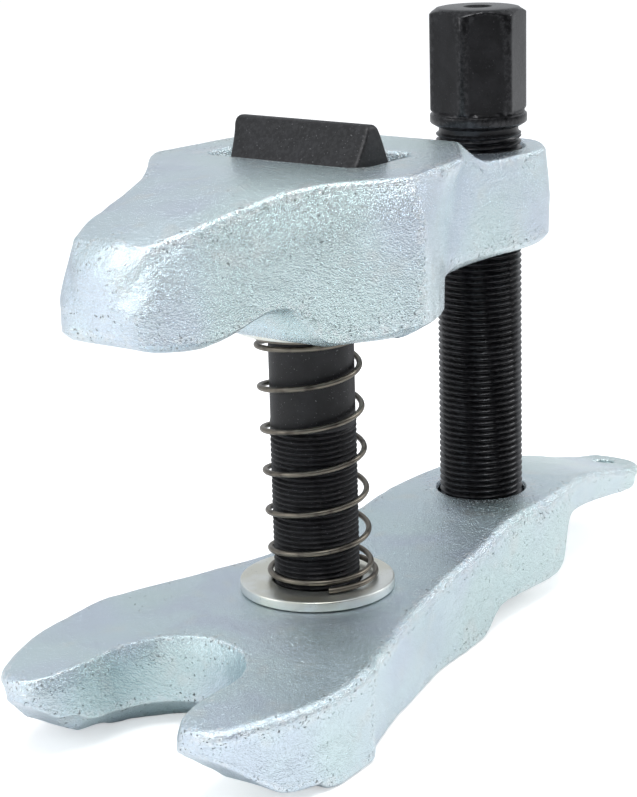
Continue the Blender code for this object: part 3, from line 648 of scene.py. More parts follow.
# ---------------------------------------------------------------- lever
@dataclass
class Lever:
    """Forged lever: nose, block with the T-head pocket, neck and eye."""

    plan: tuple = (  # x, half width at the top, half width at the foot
        (106.9, 0.0, 0.0), (106.6, 3.4, 4.0), (105.0, 8.0, 9.0), (102.5, 11.8, 12.9),
        (99.0, 15.2, 16.4), (95.0, 17.7, 19.0), (90.0, 19.3, 20.6), (84.0, 19.8, 21.1),
        (77.0, 19.5, 20.8), (71.0, 18.9, 20.2), (66.0, 18.2, 19.6), (62.0, 17.9, 19.4),
        (58.0, 17.8, 19.3), (54.0, 17.9, 19.4), (50.0, 18.3, 19.5), (46.5, 19.2, 19.9),
        (43.0, 20.9, 20.4), (39.0, 23.6, 21.4), (34.0, 27.2, 22.8), (29.0, 31.0, 24.8),
        (24.0, 34.6, 27.6), (20.0, 37.4, 30.2), (17.0, 38.9, 32.4), (12.0, 39.9, 35.6),
        (4.0, 40.7, 39.8), (-4.0, 41.5, 43.2), (-9.5, 42.1, 45.3), (-12.0, 42.3, 46.0),
        (-13.3, 42.0, 45.8), (-15.0, 41.1, 44.7), (-18.0, 39.3, 42.7), (-22.0, 36.4, 39.6),
        (-26.0, 33.2, 36.2), (-30.0, 30.1, 33.4), (-35.0, 26.8, 30.3), (-40.0, 24.0, 27.8),
        (-45.0, 22.1, 25.9), (-50.0, 20.7, 24.3), (-56.0, 19.2, 22.6), (-62.0, 17.9, 21.2),
        (-68.0, 16.4, 20.0), (-73.0, 14.8, 18.7), (-77.0, 13.3, 17.4), (-80.5, 11.7, 15.9),
        (-83.2, 9.9, 13.8), (-85.2, 7.6, 11.0), (-86.4, 4.6, 7.0), (-86.8, 0.0, 0.0))
    top_table: tuple = (
        (-86.8, 137.6), (-84.5, 138.9), (-82.0, 140.0), (-79.0, 141.1),
        (-75.0, 142.2), (-70.0, 143.3), (-65.0, 144.3), (-60.0, 145.3), (-56.0, 146.0),
        (-50.0, 147.2), (-45.0, 148.1), (-40.0, 148.8), (-35.0, 149.2), (-30.0, 149.4),
        (-26.0, 149.5), (24.0, 149.5), (34.0, 149.3), (39.0, 149.1), (43.0, 148.7),
        (46.5, 147.9), (50.0, 146.3), (54.0, 144.1), (58.0, 142.0), (62.0, 140.5),
        (66.0, 139.9), (71.0, 139.8), (102.5, 139.8), (105.0, 139.5), (106.9, 138.9))
    base_table: tuple = (
        (-86.8, 119.4), (-86.0, 117.8), (-84.5, 116.4), (-82.0, 115.3), (-79.0, 114.6),
        (-75.0, 114.0), (-70.0, 113.4), (-66.0, 113.2), (-62.0, 113.6), (-56.0, 115.0),
        (-50.0, 117.0), (-45.5, 117.8), (-41.5, 117.3), (-38.0, 115.4), (-35.0, 112.2),
        (-32.5, 108.8), (-30.5, 107.2), (-28.0, 106.6), (12.0, 106.6), (17.0, 106.8),
        (20.0, 107.4), (24.0, 109.0), (29.0, 110.8), (34.0, 111.4), (39.0, 111.5),
        (102.5, 111.6), (105.0, 111.8), (106.9, 112.4))
    under_table: tuple = (  # x, width and height of the lower edge
        (-86.8, 1.6, 1.6), (-84.0, 2.6, 2.2), (-78.0, 3.4, 2.6), (-62.0, 4.4, 2.8),
        (-50.0, 5.2, 2.6), (-40.0, 6.2, 2.4), (-30.0, 7.2, 2.6), (-22.0, 8.2, 3.4),
        (-16.0, 9.4, 4.8), (-12.0, 9.8, 5.0), (-4.0, 8.8, 4.0), (4.0, 7.8, 3.4),
        (12.0, 6.2, 3.0), (20.0, 4.6, 2.8), (34.0, 3.4, 2.6), (50.0, 2.6, 2.4),
        (102.0, 2.4, 2.4), (106.9, 1.2, 1.6))
    band_table: tuple = (
        (-86.8, 124.0), (-72.0, 127.0), (-66.0, 120.0), (-57.0, 121.0), (-50.0, 130.5),
        (-40.0, 134.5), (-30.0, 136.5), (-20.0, 138.5), (-14.0, 140.0), (-6.0, 139.5),
        (10.0, 136.0),
        (30.0, 131.0), (50.0, 126.5), (106.9, 125.5))

    def top(self, p: Array) -> Array:
        """Top face: a table along X, less a crown that grows with the square of Y on the nose.

        Args:
            p: (n, 2) plan points.

        Returns:
            Heights.
        """
        x, y = p[:, 0], p[:, 1]
        width = monotone(-x, *zip(*((-a, b) for a, b, _ in self.plan)))
        crown = (1 - smooth(x, -46, -28)) * 0.9 * (y / np.maximum(width, 6.0)) ** 2
        low = monotone(x, *zip(*self.top_table)) - crown
        return low + 0.04 * ripple(np.column_stack([p, np.zeros(len(p))]), 30.0, 8)

    def base(self, p: Array) -> Array:
        """Underside: a table along X."""
        return monotone(p[:, 0], *zip(*self.base_table))

    def slab(self) -> Slab:
        """Columns of the lever from the eye along +Y to the nose, then mirrored.

        Returns:
            The slab.
        """
        rim_path = Path([(x, a) for x, a, _ in self.plan])
        foot_path = Path([(x - 0.5 * (x < -70), b) for x, _, b in self.plan])
        foot_path.keys, foot_path.length = rim_path.keys, rim_path.length
        share = np.linspace(0, 1, 330)
        rim, foot = rim_path.at(share), foot_path.at(share)
        x = rim[:, 0]
        spine = np.column_stack([np.clip(x * 0.985, -75.0, 92.0), np.zeros(len(x))])
        width, rise = (monotone(x, [r[0] for r in self.under_table],
                                [r[k] for r in self.under_table]) for k in (1, 2))
        band = monotone(x, *zip(*self.band_table))
        front = 1 - smooth(x, -86.6, -78.5)
        edge, fall = 1.5 + 7.5 * front, 1.5 + 12.5 * front
        return Slab(rim=mirrored(rim), foot=mirrored(foot), spine=mirrored(spine),
                    edge=mirrored(edge), edge_drop=mirrored(fall), band=mirrored(band),
                    under=mirrored(width), under_rise=mirrored(rise), top=self.top,
                    base=self.base, lower_round=0.3)

    def build(self) -> list[bpy.types.Object]:
        """Make the lever with its pocket, bolt slot and eye.

        Returns:
            The lever.
        """
        grid = self.slab().grid()
        side = np.cross(np.gradient(grid, axis=1), np.gradient(grid, axis=0))
        side /= np.maximum(np.linalg.norm(side, axis=-1), 1e-6)[..., None]
        sway = 0.12 * ripple(grid, 19.0, 9) + 0.06 * ripple(grid, 7.0, 10)
        flat = np.abs(side[..., 2]) > 0.9
        grid = grid + side * (sway * np.where(flat, 0.25, 1.0))[..., None]
        grid[..., 0] += BOLT_X
        lever = grid_object("lever_forging", grid)
        pocket = [(z, rounded_box(BOLT_X + 4.4, 2.0, 13.2 + out, 26.2 + out, 4.6 + out))
                  for z, out in ((137.6, -3.6), (138.6, -1.6), (141.0, 0.0), (148.6, 0.0),
                                 (149.0, 0.25), (149.5, 0.9), (158.0, 9.4))]
        cutters = [
            prism("cut_pocket", pocket),
            turned("cut_slot", np.array([0, 13.8, 12.8, 12.8, 13.8, 18, 0.0]),
                   np.array([141.0, 141.0, 137.0, 107.6, 106.4, 102, 102.0]),
                   (BOLT_X, 0.0), 96),
            turned("cut_eye", np.array([0, 21.0, 14.3, 13.3, 13.3, 14.3, 20, 0.0]),
                   np.array([147, 147.0, 139.9, 138.6, 112.6, 111.4, 106, 106]),
                   (SPINDLE_X, 0.0), 96)]
        combine(lever, cutters)
        shade(lever)
        mark_wear(lever)
        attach(lever, Body.LEVER.value)
        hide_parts("lever_arm")
        return [lever]


# ---------------------------------------------------------------- threads and bolt
@dataclass(frozen=True)
class Thread:
    """A right-hand thread: a clipped triangle wave wound round an axis."""

    crest_r: float
    pitch: float
    depth: float
    rows_per_pitch: int = 10

    def rows(self, high: float, low: float, cols: int, fade_top: float = 1.5,
             ) -> tuple[Array, Array]:
        """Radii and heights from high down to low.

        The phase falls with height and rises with the angle; the radius drops from the crest by
        the clipped distance to the nearest crest. The thread fades in at the top end.

        Args:
            high: upper end.
            low: lower end.
            cols: points round the axis.
            fade_top: length over which the thread runs out.

        Returns:
            (rows, cols) radii and (rows,) heights.
        """
        count = int((high - low) / self.pitch * self.rows_per_pitch) + 2
        z = np.linspace(high, low, count)
        angle = np.arange(cols) / cols
        phase = (z[:, None] / self.pitch - angle) % 1.0
        groove = np.clip((1 - np.abs(2 * phase - 1) - 0.14) / 0.72, 0.0, 1.0)
        groove = 0.75 * groove + 0.25 * groove * groove * (3 - 2 * groove)
        fade = smooth(high - z, 0.0, fade_top)[:, None]
        return self.crest_r - self.depth * groove * fade, z


@dataclass
class BoltSet:
    """T-bolt with its threaded shank, and the washer under the lever."""

    thread: Thread = Thread(12.0, 1.5, 0.92)
    thread_top: float = 76.2
    bolt_end: float = 1.5
    near_end: float = -22.4
    far_end: float = 19.6
    section: tuple = (  # x and height above the lever's top, from the rear foot round the ridge
        (7.4, -1.6), (6.9, 0.0), (5.7, 3.2), (4.5, 6.2), (3.7, 8.0), (2.9, 9.1), (1.7, 9.7),
        (0.3, 9.8), (-0.9, 9.5), (-1.8, 8.7), (-2.6, 7.4), (-4.3, 4.9), (-6.6, 1.9),
        (-8.3, -0.5), (-8.5, -2.2))

    def _stud(self) -> bpy.types.Object:
        """Shank with its thread, as one turned grid.

        Returns:
            The closed stud.
        """
        cols = 88
        radii, z = self.thread.rows(self.thread_top, self.bolt_end + 1.4, cols)
        ones = np.ones((1, cols))
        head = [(0.0, 145.0), (11.8, 145.0), (11.8, 120.0), (11.8, 95.0),
                (11.8, self.thread_top + 1.2), (12.0, self.thread_top)]
        tail = [(10.9, self.bolt_end + 1.3), (9.9, self.bolt_end + 0.1), (9.4, self.bolt_end),
                (0.0, self.bolt_end)]
        r = np.concatenate([ones * h[0] for h in head] + [radii] + [ones * h[0] for h in tail])
        h = np.concatenate([[h[1] for h in head], z, [h[1] for h in tail]])
        return turned("bolt_stud", r, h, (BOLT_X, 0.0), cols)

    def _head(self) -> bpy.types.Object:
        """T-head: its section carried along Y and shrunk along a quarter circle at both ends.

        Returns:
            The closed head.
        """
        a = np.radians(np.linspace(350, 190, 15))
        low = [(8.5 * math.cos(t), 8.5 * math.sin(t) - 3.0) for t in a]
        section = np.array(list(self.section) + low[::-1])
        key = np.arange(len(section) + 1)
        loop = np.vstack([section, section[:1]])
        s = np.linspace(0, len(section), 140, endpoint=False)
        x, z = (monotone(s, key, loop[:, k]) for k in (0, 1))
        middle = np.array([-0.6, 0.0])
        rounding = np.linspace(0, np.pi / 2, 6)
        ends = 1.3
        rows = []
        for side, y_end in ((-1, self.near_end), (1, self.far_end)):
            block = []
            for t in rounding:
                inset, back = ends * (1 - math.sin(t)), ends * (1 - math.cos(t))
                share = 1 - inset / 8.0
                lean = (0.06 if side < 0 else -0.32) * np.maximum(z, 0.0)
                block.append(np.column_stack([
                    middle[0] + (x - middle[0]) * share,
                    y_end - side * (back + lean),
                    middle[1] + (z - middle[1]) * share]))
            cap = np.column_stack([np.full(140, middle[0]), np.full(140, y_end),
                                   np.full(140, middle[1])])
            block = [cap, *block]
            rows += block if side < 0 else block[::-1]
        grid = np.stack(rows)
        grid[..., 0] += BOLT_X
        grid[..., 2] += LEVER_TOP
        return grid_object("bolt_head", grid)

    def build(self) -> list[bpy.types.Object]:
        """Make the T-bolt and the upper washer.

        Returns:
            The two pieces.
        """
        bolt = combine(self._stud(), [self._head()], "UNION")
        bolt.name = bolt.data.name = "tie_bolt_body"
        shade(bolt, 38)
        mark_wear(bolt, 1)
        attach(bolt, Body.BOLT.value)
        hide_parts("tie_bolt")
        washer = build_washer("lever_washer", 103.45, Body.BOLT, "upper_washer")
        return [bolt, washer]


# ---------------------------------------------------------------- spindle
@dataclass
class Spindle:
    """Forcing spindle: hexagon, collar, neck groove, fine thread and cupped foot."""

    thread: Thread = Thread(12.7, 1.814, 1.12, 9)
    across_flats: float = 25.4
    turn: float = math.radians(12.7)
    collar_base: float = 146.0
    collar_r: float = 14.4
    hex_base: float = 150.2
    hex_top: float = 181.0

    def _hexagon(self, cols: int) -> Array:
        """Radius round a hexagon: half the flats' width over the cosine from the nearest flat.

        Args:
            cols: points round the axis.

        Returns:
            One radius per point, with the corners slightly broken.
        """
        a = np.arange(cols) * 2 * np.pi / cols - self.turn - np.pi / 6
        local = (a + np.pi / 6) % (np.pi / 3) - np.pi / 6
        return np.minimum(0.5 * self.across_flats / np.cos(local),
                          0.5 * self.across_flats / math.cos(math.pi / 6) - 0.25)

    def build(self) -> list[bpy.types.Object]:
        """Make the spindle as one turned grid whose foot has the ball's cup.

        Returns:
            The spindle.
        """
        cols = 96
        hexagon = self._hexagon(cols)
        ones = np.ones(cols)
        top = self.hex_top
        rows: list[tuple[Array, float]] = [
            (ones * 0.0, top - 0.9), (ones * 3.4, top - 0.9), (ones * 4.4, top),
            (ones * 11.0, top), (np.minimum(hexagon, 12.2), top - 0.25)]
        for r in (12.7, 13.1, 13.6, 14.1, 14.6):
            rows.append((np.minimum(hexagon, r), top - 0.35 - (r - 12.2) * 0.62))
        rows += [(hexagon, top - 8.0), (hexagon, self.hex_base + 6.0),
                 (hexagon, self.hex_base + 1.2),
                 (np.minimum(hexagon, 14.3), self.hex_base + 0.7),
                 (ones * 13.7, self.hex_base + 0.2), (ones * 13.8, self.hex_base - 0.2),
                 (ones * (self.collar_r - 0.1), self.hex_base - 0.5),
                 (ones * self.collar_r, self.hex_base - 0.9),
                 (ones * self.collar_r, self.collar_base + 1.5),
                 (ones * (self.collar_r - 0.3), self.collar_base + 1.1),
                 (ones * 12.4, self.collar_base + 0.1), (ones * 11.9, self.collar_base - 0.1),
                 (ones * 11.8, self.collar_base - 0.6), (ones * 11.9, self.collar_base - 1.5),
                 (ones * 12.6, self.collar_base - 2.1)]
        radii, z = self.thread.rows(self.collar_base - 2.1, 31.0, cols, 1.2)
        foot = [(12.7, 30.4), (12.7, 25.1), (10.3, 21.7), (6.2, 21.7)]
        bowl = np.linspace(math.asin(1.2 / 6.3), np.pi / 2, 7)
        foot += [(6.3 * math.cos(t), 20.5 + 6.3 * math.sin(t)) for t in bowl[:-1]]
        foot += [(0.0, 26.8)]
        r = np.concatenate([np.stack([row[0] for row in rows]), radii,
                            np.stack([ones * f[0] for f in foot])])
        h = np.concatenate([[row[1] for row in rows], z, [f[1] for f in foot]])
        spindle = turned("forcing_spindle", r, h, (SPINDLE_X, 0.0), cols)
        shade(spindle, 38)
        mark_wear(spindle, 1)
        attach(spindle, Body.SCREW.value)
        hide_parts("spindle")
        return [spindle]


# ---------------------------------------------------------------- spring
@dataclass
class Spring:
    """Right-hand compression spring whose end coils are wider and closed."""

    wire: float = 0.8
    middle_r: float = 13.9
    end_r: float = 15.6
    turns: int = 8
    start: float = math.radians(-137.0)
    base: float = 31.75
    top: float = 102.35
    travel: float = 18.0
    anchor_z: float = 30.7
    rise: tuple = (0.0, 0.027, 0.150, 0.312, 0.477, 0.648, 0.816, 0.967, 1.0)

    def build(self) -> list[bpy.types.Object]:
        """Make the spring: a circle of wire carried along a helix of changing pitch and radius.

        Returns:
            The spring.
        """
        steps, sides = self.turns * 56, 14
        turn = np.linspace(0, self.turns, steps + 1)
        share = monotone(turn, np.arange(self.turns + 1), self.rise)
        ends = np.clip(1 - np.minimum(turn, self.turns - turn) / 1.6, 0, 1) ** 2
        radius = self.middle_r + (self.end_r - self.middle_r) * ends
        angle = self.start + 2 * np.pi * turn
        z = self.base + (self.top - self.base) * share
        drift = 1.3 - 2.4 * share
        middle = np.column_stack([BOLT_X + radius * np.cos(angle) + 0.592 * drift,
                                  radius * np.sin(angle) - 0.806 * drift, z])
        tangent = np.gradient(middle, axis=0)
        tangent /= np.linalg.norm(tangent, axis=1)[:, None]
        out = np.column_stack([np.cos(angle), np.sin(angle), np.zeros_like(angle)])
        out -= tangent * (out * tangent).sum(axis=1)[:, None]
        out /= np.linalg.norm(out, axis=1)[:, None]
        up = np.cross(tangent, out)
        a = np.arange(sides) * 2 * np.pi / sides
        ring = (out[:, None] * np.cos(a)[None, :, None] + up[:, None] * np.sin(a)[None, :, None])
        grid = middle[:, None] + ring * self.wire
        cap = [np.repeat(middle[k][None], sides, axis=0)[None] for k in (0, -1)]
        rounds = [middle[k][None, None] + ring[k][None] * (self.wire * 0.9) for k in (0, -1)]
        grid = np.concatenate([cap[0], rounds[0], grid, rounds[1], cap[1]])
        spring = grid_object("coil_spring", grid)
        shade(spring, 50)
        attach(spring, Body.SWIVEL.value)
        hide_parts("compression_spring")
        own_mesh(spring)
        return [spring]


# ---------------------------------------------------------------- shader maths
class Value:
    """A number socket whose operators add Math nodes."""

    def __init__(self, graph: "Graph", socket: bpy.types.NodeSocket) -> None:
        """Args: graph: owner. socket: output that carries the number."""
        self.graph, self.socket = graph, socket

    def math(self, operation: str, *others: "Value | float", first: bool = True) -> "Value":
        """Add a Math node.

        Args:
            operation: the node's operation.
            others: the other values.
            first: this value goes in front of the others.

        Returns:
            The result.
        """
        order = [self, *others] if first else [*others, self]
        node = self.graph.node("ShaderNodeMath", {"operation": operation},
                               {k: v for k, v in enumerate(order)})
        return Value(self.graph, node.outputs[0])

    def __add__(self, other: "Value | float") -> "Value":
        """Sum."""
        return self.math("ADD", other)

    __radd__ = __add__

    def __mul__(self, other: "Value | float") -> "Value":
        """Product."""
        return self.math("MULTIPLY", other)

    __rmul__ = __mul__

    def __sub__(self, other: "Value | float") -> "Value":
        """Difference."""
        return self.math("SUBTRACT", other)

    def __rsub__(self, other: float) -> "Value":
        """Difference with this value taken away."""
        return self.math("SUBTRACT", other, first=False)

    def step(self, low: float, high: float) -> "Value":
        """Smooth step.

        Args:
            low: value that gives 0.
            high: value that gives 1.

        Returns:
            The step.
        """
        node = self.graph.node("ShaderNodeMapRange", {"interpolation_type": "SMOOTHSTEP"},
                               {"Value": self, "From Min": low, "From Max": high,
                                "To Min": 0.0, "To Max": 1.0})
        return Value(self.graph, node.outputs["Result"])

    def peak(self, other: "Value | float") -> "Value":
        """Larger of the two."""
        return self.math("MAXIMUM", other)


class Graph:
    """Node tree of one material, with its Principled shader."""

    def __init__(self, name: str) -> None:
        """Args: name: material name."""
        self.material = bpy.data.materials.new(name)
        self.material.use_nodes = True
        self.tree = self.material.node_tree
        self.shader = next(n for n in self.tree.nodes if n.type == "BSDF_PRINCIPLED")
        place = self.node("ShaderNodeTexCoord", {}, {}).outputs["Object"]
        self.place = self.node("ShaderNodeMapping", {}, {"Vector": place,
                                                         "Scale": (1000.0,) * 3}).outputs[0]

    def node(self, kind: str, settings: dict, inputs: dict) -> bpy.types.Node:
        """Add a node, set it up, then give its sockets their values or links.

        Args:
            kind: node type.
            settings: properties set first; "stops" fills a colour ramp.
            inputs: socket name or index to a value, a Value or an output socket.

        Returns:
            The node.
        """
        node = self.tree.nodes.new(kind)
        for key, value in settings.items():
            if key == "stops":
                ramp = node.color_ramp.elements
                while len(ramp) < len(value):
                    ramp.new(0.5)
                for item, (at, colour) in zip(ramp, value):
                    item.position, item.color = at, (*colour, 1.0)
            else:
                setattr(node, key, value)
        for key, value in inputs.items():
            socket = node.inputs[key]
            if isinstance(value, Value):
                self.tree.links.new(value.socket, socket)
            elif isinstance(value, bpy.types.NodeSocket):
                self.tree.links.new(value, socket)
            elif isinstance(value, tuple) and len(value) == 3 and socket.type == "RGBA":
                socket.default_value = (*value, 1.0)
            else:
                socket.default_value = value
        return node

    def noise(self, size: float, detail: float = 2.0, rough: float = 0.5,
              at: bpy.types.NodeSocket | None = None, warp: float = 0.0) -> Value:
        """Noise between 0 and 1.

        Args:
            size: width of its features in millimetres.
            detail: octaves above the first.
            rough: strength of each octave against the one before.
            at: place to read, otherwise the piece's own place.
            warp: distortion.

        Returns:
            The noise.
        """
        node = self.node("ShaderNodeTexNoise", {}, {
            "Vector": at or self.place, "Scale": 1.0 / size, "Detail": detail,
            "Roughness": rough, "Distortion": warp})
        return Value(self, node.outputs[0])

    def attribute(self, name: str) -> Value:
        """A stored number of the mesh."""
        return Value(self, self.node("ShaderNodeAttribute", {"attribute_name": name},
                                     {}).outputs["Fac"])

    def axes(self) -> tuple[Value, Value, Value]:
        """Place in millimetres along X, Y and Z."""
        node = self.node("ShaderNodeSeparateXYZ", {}, {0: self.place})
        return tuple(Value(self, node.outputs[k]) for k in range(3))

    def vector(self, x: "Value | float", y: "Value | float", z: "Value | float",
               ) -> bpy.types.NodeSocket:
        """A vector from three numbers."""
        return self.node("ShaderNodeCombineXYZ", {}, {0: x, 1: y, 2: z}).outputs[0]

    def blend(self, factor: "Value | float", a: object, b: object) -> bpy.types.NodeSocket:
        """Colour a where factor is 0 and colour b where it is 1."""
        return self.node("ShaderNodeMix", {"data_type": "RGBA"},
                         {0: factor, 6: a, 7: b}).outputs[2]

    def bump(self, *layers: tuple[Value, float]) -> None:
        """Feed Normal with a chain of bumps.

        Args:
            layers: (height, depth in millimetres) pairs, coarse to fine.
        """
        normal = None
        for height, depth in layers:
            links = {"Height": height, "Distance": depth * MM, "Strength": 1.0}
            if normal is not None:
                links["Normal"] = normal
            normal = self.node("ShaderNodeBump", {}, links).outputs[0]
        self.tree.links.new(normal, self.shader.inputs["Normal"])

    def finish(self, **sockets: object) -> bpy.types.Material:
        """Fill the shader's sockets.

        Args:
            sockets: values or links; underscores in a name stand for spaces.

        Returns:
            The material.
        """
        for key, value in sockets.items():
            socket = self.shader.inputs[key.replace("_", " ")]
            if isinstance(value, (Value, bpy.types.NodeSocket)):
                self.tree.links.new(getattr(value, "socket", value), socket)
            elif isinstance(value, tuple):
                socket.default_value = (*value, 1.0)
            else:
                socket.default_value = value
        return self.material


# ---------------------------------------------------------------- finishes
@dataclass(frozen=True)
class ZincForging:
    """Zinc plate over a blasted forging: glittering grain, soft mottling and dark pits."""

    name: str = "zinc_over_forging"
    pale: tuple = (0.69, 0.81, 0.86)
    lilac: tuple = (0.66, 0.75, 0.84)
    green: tuple = (0.67, 0.81, 0.82)
    warm: tuple = (0.73, 0.79, 0.79)
    pit: tuple = (0.06, 0.07, 0.07)
    grain: float = 0.40
    depth: float = 0.30
    metal: float = 0.94

    def material(self) -> bpy.types.Material:
        """Build the material.

        Returns:
            The finish as a node material.
        """
        g = Graph(self.name)
        wear = g.attribute("wear")
        clouds, drift = g.noise(26.0, 2.0, 0.5, warp=0.4), g.noise(44.0, 1.0, 0.5)
        grain, coarse = g.noise(self.grain, 2.0, 0.65), g.noise(1.1, 2.0, 0.6)
        dents, patch = g.noise(4.2, 3.0, 0.55), g.noise(9.0, 2.0, 0.6)
        colour = g.blend(clouds.step(0.40, 0.62), self.pale, self.lilac)
        colour = g.blend(drift.step(0.46, 0.66), colour, self.green)
        colour = g.blend(patch.step(0.55, 0.75) * 0.5, colour, self.warm)
        specks = g.noise(0.8, 1.0, 0.5).step(0.60, 0.72)
        crust = (patch.step(0.36, 0.54) * wear.step(0.10, 0.6)) * specks
        rare = (g.noise(0.9, 1.0, 0.4).step(0.70, 0.76) * 0.8) * drift.step(0.50, 0.62)
        dark = crust.peak(rare)
        colour = g.blend(dark * 0.85, colour, self.pit)
        bright = wear.step(0.45, 1.0) * g.noise(1.5, 1.0).step(0.45, 0.6)
        colour = g.blend(bright * 0.35, colour, (0.85, 0.88, 0.89))
        g.bump((dents, 0.20), (coarse - dark * 0.5, 0.22), (grain, self.depth))
        rough = 0.12 + grain * 0.10 + coarse * 0.10 + dark * 0.35
        return g.finish(Base_Color=colour, Metallic=self.metal, Roughness=rough)


@dataclass(frozen=True)
class TurnedZinc:
    """Zinc plate over a turned washer: fine rings, slightly warm, lightly scuffed."""

    name: str = "zinc_over_turning"
    pale: tuple = (0.80, 0.82, 0.79)
    warm: tuple = (0.72, 0.72, 0.64)

    def material(self) -> bpy.types.Material:
        """Build the material.

        Returns:
            The finish as a node material.
        """
        g = Graph(self.name)
        x, y, z = g.axes()
        far = (x - BOLT_X) * (x - BOLT_X) + y * y
        radius = far.math("SQRT")
        lines = g.noise(0.30, 1.0, 0.6, at=g.vector(radius, z * 1.4, 0.0))
        scuff, stain = g.noise(0.9, 3.0, 0.65), g.noise(11.0, 2.0, 0.5)
        colour = g.blend(stain.step(0.42, 0.62), self.pale, self.warm)
        colour = g.blend(scuff.step(0.62, 0.74) * 0.55, colour, (0.24, 0.24, 0.22))
        g.bump((scuff, 0.03), (lines, 0.035))
        return g.finish(Base_Color=colour, Metallic=0.95, Roughness=0.26 + lines * 0.16)


@dataclass(frozen=True)
class BlackCoat:
    """Dark coating over machined steel, lighter where edges are rubbed."""

    name: str
    base: tuple = (0.007, 0.007, 0.008)
    rubbed: tuple = (0.20, 0.20, 0.21)
    rough: float = 0.5
    grain: float = 0.5
    depth: float = 0.05
    metal: float = 0.3
    specks: float = 0.5
    rub: float = 0.05

    def material(self) -> bpy.types.Material:
        """Build the material.

        Returns:
            The finish as a node material.
        """
        g = Graph(self.name)
        wear = g.attribute("wear")
        grain, cloud = g.noise(self.grain, 2.0, 0.6), g.noise(7.0, 3.0, 0.6)
        dust = g.noise(0.5, 1.0, 0.4).step(0.71, 0.77)
        worn = wear.step(0.35, 1.0) * g.noise(1.2, 2.0, 0.6).step(0.42, 0.62)
        colour = g.blend(cloud.step(0.35, 0.7), self.base,
                         tuple(min(1.0, c * 1.9) for c in self.base))
        colour = g.blend((worn * self.rub).peak(dust * self.specks), colour, self.rubbed)
        g.bump((cloud, 0.05), (grain, self.depth))
        return g.finish(Base_Color=colour, Metallic=self.metal,
                        Roughness=self.rough - 0.08 + grain * 0.16)


@dataclass(frozen=True)
class BareSteel:
    """Ground or drawn steel under a film of oil, with long faint scratches."""

    name: str
    base: tuple = (0.19, 0.17, 0.14)
    shade: tuple = (0.08, 0.07, 0.06)
    rough: float = 0.32

    def material(self) -> bpy.types.Material:
        """Build the material.

        Returns:
            The finish as a node material.
        """
        g = Graph(self.name)
        stretch = g.node("ShaderNodeMapping", {}, {"Vector": g.place,
                                                   "Scale": (1.0, 1.0, 0.12)}).outputs[0]
        streak, cloud = g.noise(0.5, 2.0, 0.6, at=stretch), g.noise(5.0, 2.0, 0.6)
        colour = g.blend(cloud.step(0.45, 0.75), self.base, self.shade)
        g.bump((streak, 0.012))
        return g.finish(Base_Color=colour, Metallic=1.0, Roughness=self.rough + streak * 0.12)


# ---------------------------------------------------------------- small parts
@dataclass
class HiddenParts:
    """Nut, ring, ball and pad, whose frame shapes are kept and dressed."""

    steel: tuple = ("adjusting_nut", "swivel_ring", "thrust_pad")
    ground: tuple = ("thrust_ball",)

    def dress(self, frame: dict, steel: bpy.types.Material, ball: bpy.types.Material,
              ) -> None:
        """Give the kept frame nodes their materials.

        Args:
            frame: the loaded frame.
            steel: blackened steel.
            ball: ground steel.
        """
        for names, material in ((self.steel, steel), (self.ground, ball)):
            for name in names:
                put_on(frame["nodes"][name], material)


def put_on(obj: bpy.types.Object, material: bpy.types.Material) -> None:
    """Make one material the only one of a piece.

    Args:
        obj: piece to dress.
        material: its finish.
    """
    obj.data.materials.clear()
    obj.data.materials.append(material)
    obj.data.polygons.foreach_set("material_index",
                                  np.zeros(len(obj.data.polygons), np.int32))


